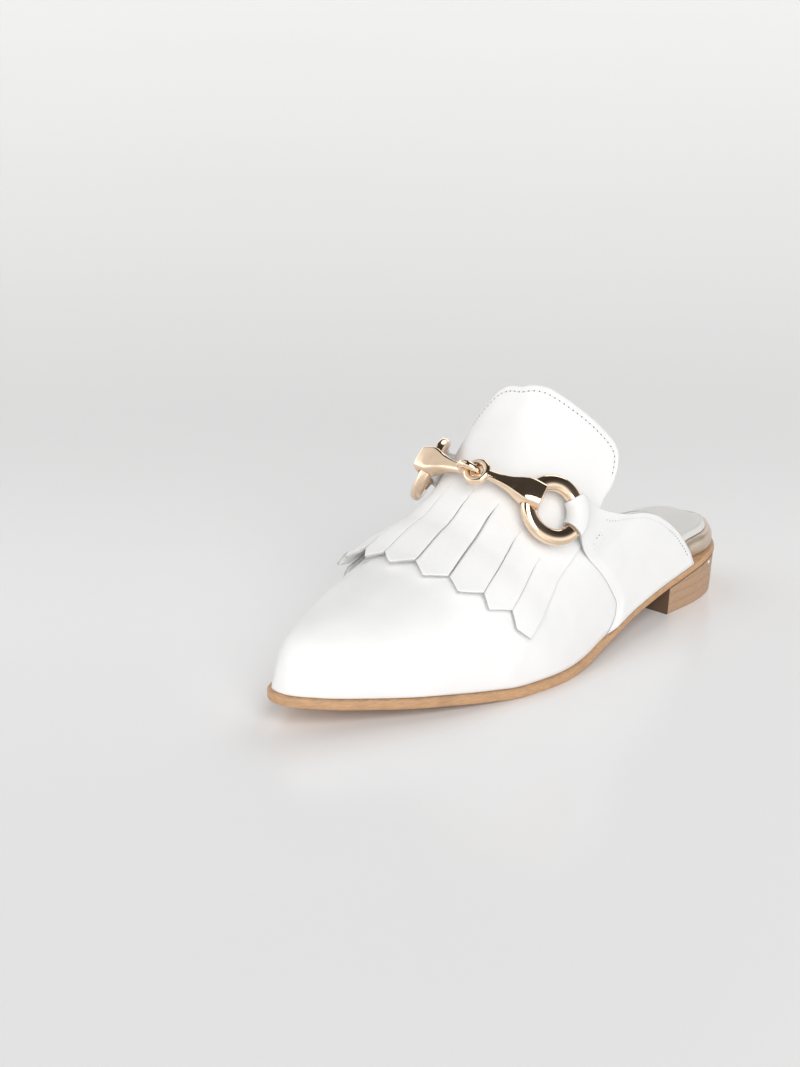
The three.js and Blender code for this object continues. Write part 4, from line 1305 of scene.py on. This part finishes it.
GROUPS = {
    "leather": MuleLeather, "sole": MuleSole, "footbed": MuleFootbed,
    "bit": MuleBit, "stitch": MuleStitch, "stage": MuleStage,
}


def settings(context, name):
    """A settings group with its lengths in millimetres and its colours as tuples."""
    group = getattr(context.scene, "mule_" + name)
    values = {}
    for key in GROUPS[name].__annotations__:
        value = getattr(group, key)
        kind = group.bl_rna.properties[key]
        if kind.subtype == "COLOR":
            value = tuple(value)
        elif kind.unit == "LENGTH":
            value = value / MM
        values[key] = value
    return types.SimpleNamespace(**values)


class MULE_OT_upper(bpy.types.Operator):
    """Makes the lined upper over the last"""

    bl_idname = "mule.upper"
    bl_label = "Upper"

    def execute(self, context):
        leather = settings(context, "leather")
        looks = (leather.tone, leather.raw, leather.grain, leather.lining)
        finish = smooth_white_leather("white upper", *looks)
        dress(upper_shell(finish, leather.wall), "white_leather", "upper")
        return {"FINISHED"}


class MULE_OT_tongue(bpy.types.Operator):
    """Makes the tongue with its fringe of nine strips"""

    bl_idname = "mule.tongue"
    bl_label = "Fringed tongue"

    def execute(self, context):
        leather = settings(context, "leather")
        finish = smooth_white_leather("white tongue", leather.tone, leather.raw, leather.grain)
        dress(fringed_tongue(finish, leather.facing), "white_leather", "tongue")
        return {"FINISHED"}


class MULE_OT_quarters(bpy.types.Operator):
    """Makes both quarters with the straps that hold the rings"""

    bl_idname = "mule.quarters"
    bl_label = "Quarters and straps"

    def execute(self, context):
        leather = settings(context, "leather")
        bit = settings(context, "bit")
        finish = smooth_white_leather("white quarters", leather.tone, leather.raw, leather.grain)
        for name, side in SIDES.items():
            piece = side_quarter("quarter_and_strap_" + name, side, bit, leather.facing, finish)
            dress(piece, "white_leather", "quarter_" + name)
        return {"FINISHED"}


class MULE_OT_sole(bpy.types.Operator):
    """Makes the outsole, the stacked heel and its nail"""

    bl_idname = "mule.sole"
    bl_label = "Sole and heel"

    def execute(self, context):
        sole = settings(context, "sole")
        tan = tan_sole_leather("tan sole leather", sole.edge)
        breast_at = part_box("heel")[0][1] / MM
        stack = stacked_heel_leather("stacked heel leather", sole.stack, sole.lift, breast_at)
        dress(outsole_layer(tan), "sole_leather", "outsole")
        dress(stacked_heel(stack, sole.lift), "heel_leather", "heel")
        dress(heel_nail(polished_metal("nail", (0.9, 0.84, 0.74))), "rose_gold")
        return {"FINISHED"}


class MULE_OT_footbed(bpy.types.Operator):
    """Makes the wrapped footbed and the padded sock"""

    bl_idname = "mule.footbed"
    bl_label = "Footbed and sock"

    def execute(self, context):
        bed = settings(context, "footbed")
        dress(wrapped_footbed(pearl_leather("pearl leather", bed.pearl)), "pearl_leather", "footbed")
        lining = smooth_white_leather("sock leather", bed.sock, bed.sock, 0.8)
        sock = dress(padded_sock(lining, bed.padding), "sock_leather", "sock")
        return {"FINISHED"}


class MULE_OT_bit(bpy.types.Operator):
    """Makes the two rings and the two linked bars of the snaffle bit"""

    bl_idname = "mule.bit"
    bl_label = "Snaffle bit"

    def execute(self, context):
        bit = settings(context, "bit")
        metal = polished_metal("rose gold", bit.metal)
        for name, side in SIDES.items():
            dress(snaffle_ring("snaffle_ring_" + name, side, bit, metal), "rose_gold", "ring_" + name)
            dress(snaffle_bar("snaffle_bar_" + name, side, bit, metal), "rose_gold", "bar_" + name)
        return {"FINISHED"}


class MULE_OT_stitches(bpy.types.Operator):
    """Sews the tongue's edge and the quarters"""

    bl_idname = "mule.stitches"
    bl_label = "Stitches"

    def execute(self, context):
        stitch = settings(context, "stitch")
        leather = settings(context, "leather")
        tree = stitch_tree()
        white = thread("white thread", stitch.tone)
        # Painted shade: the needle holes are near-black beads laid between the stitches, standing in for
        # the shade inside each hole.
        hole_shade = thread("needle hole", (0.12, 0.11, 0.1))
        seams = {"tongue": [tongue_seam(leather.facing)], "quarter": []}
        for name, side in SIDES.items():
            piece = context.scene.objects["quarter_and_strap_" + name]
            seams["quarter"] += quarter_seams(piece, side, leather.facing)
        for name, rows in seams.items():
            size = (0.62 * stitch.pitch, stitch.thick, 0.3)
            threads = sewn(name + "_stitches", rows, tree, white, stitch.pitch, *size)
            dress(threads, "white_leather")
            between = [(mix(p[:-1], p[1:], 0.5), mix(u[:-1], u[1:], 0.5)) for p, u in rows]
            hole_shade_beads = sewn(name + "_needle_holes", between, tree, hole_shade, stitch.pitch, 0.75, 0.6, 0.2)
            dress(hole_shade_beads, "white_leather")
        return {"FINISHED"}


class MULE_OT_stage(bpy.types.Operator):
    """Sets the pale floor, the soft lights and the camera"""

    bl_idname = "mule.stage"
    bl_label = "Floor, lights and camera"

    def execute(self, context):
        stage = settings(context, "stage")
        mesh = bpy.data.meshes.new("floor")
        half = 12
        corners = [(-half, -half, 0), (half, -half, 0), (half, half, 0), (-half, half, 0)]
        mesh.from_pydata(corners, [], [(0, 1, 2, 3)])
        mesh.materials.append(floor_finish(stage.floor))
        floor = bpy.data.objects.new("floor", mesh)
        context.scene.collection.objects.link(floor)
        studio_room(ROOM_LIGHT * stage.light)
        for name, (from_where, strength, spread) in LAMPS.items():
            soft_sun(name, from_where, strength * stage.light, spread)
        camera_of_the_view()
        context.scene.view_settings.view_transform = "Standard"
        return {"FINISHED"}


OPERATORS = (
    MULE_OT_upper, MULE_OT_tongue, MULE_OT_quarters, MULE_OT_sole, MULE_OT_footbed,
    MULE_OT_bit, MULE_OT_stitches, MULE_OT_stage,
)


class MULE_PT_panel(bpy.types.Panel):
    """Lists the settings and the steps that make the shoe"""

    bl_idname = "MULE_PT_panel"
    bl_label = "Mule"
    bl_space_type = "VIEW_3D"
    bl_region_type = "UI"
    bl_category = "Mule"

    def draw(self, context):
        for name, kind in GROUPS.items():
            box = self.layout.box()
            box.label(text=name.capitalize())
            for key in kind.__annotations__:
                box.prop(getattr(context.scene, "mule_" + name), key)
        for operator in OPERATORS:
            self.layout.operator(operator.bl_idname)


CLASSES = (*GROUPS.values(), *OPERATORS, MULE_PT_panel)


def register():
    for one in CLASSES:
        bpy.utils.register_class(one)
    for name, kind in GROUPS.items():
        setattr(bpy.types.Scene, "mule_" + name, bpy.props.PointerProperty(type=kind))


def unregister():
    for name in GROUPS:
        delattr(bpy.types.Scene, "mule_" + name)
    for one in reversed(CLASSES):
        bpy.utils.unregister_class(one)


def main():
    """Makes the whole shoe and its stage."""
    register()
    for operator in OPERATORS:
        group, name = operator.bl_idname.split(".")
        getattr(getattr(bpy.ops, group), name)()


if __name__ == "__main__":
    main()
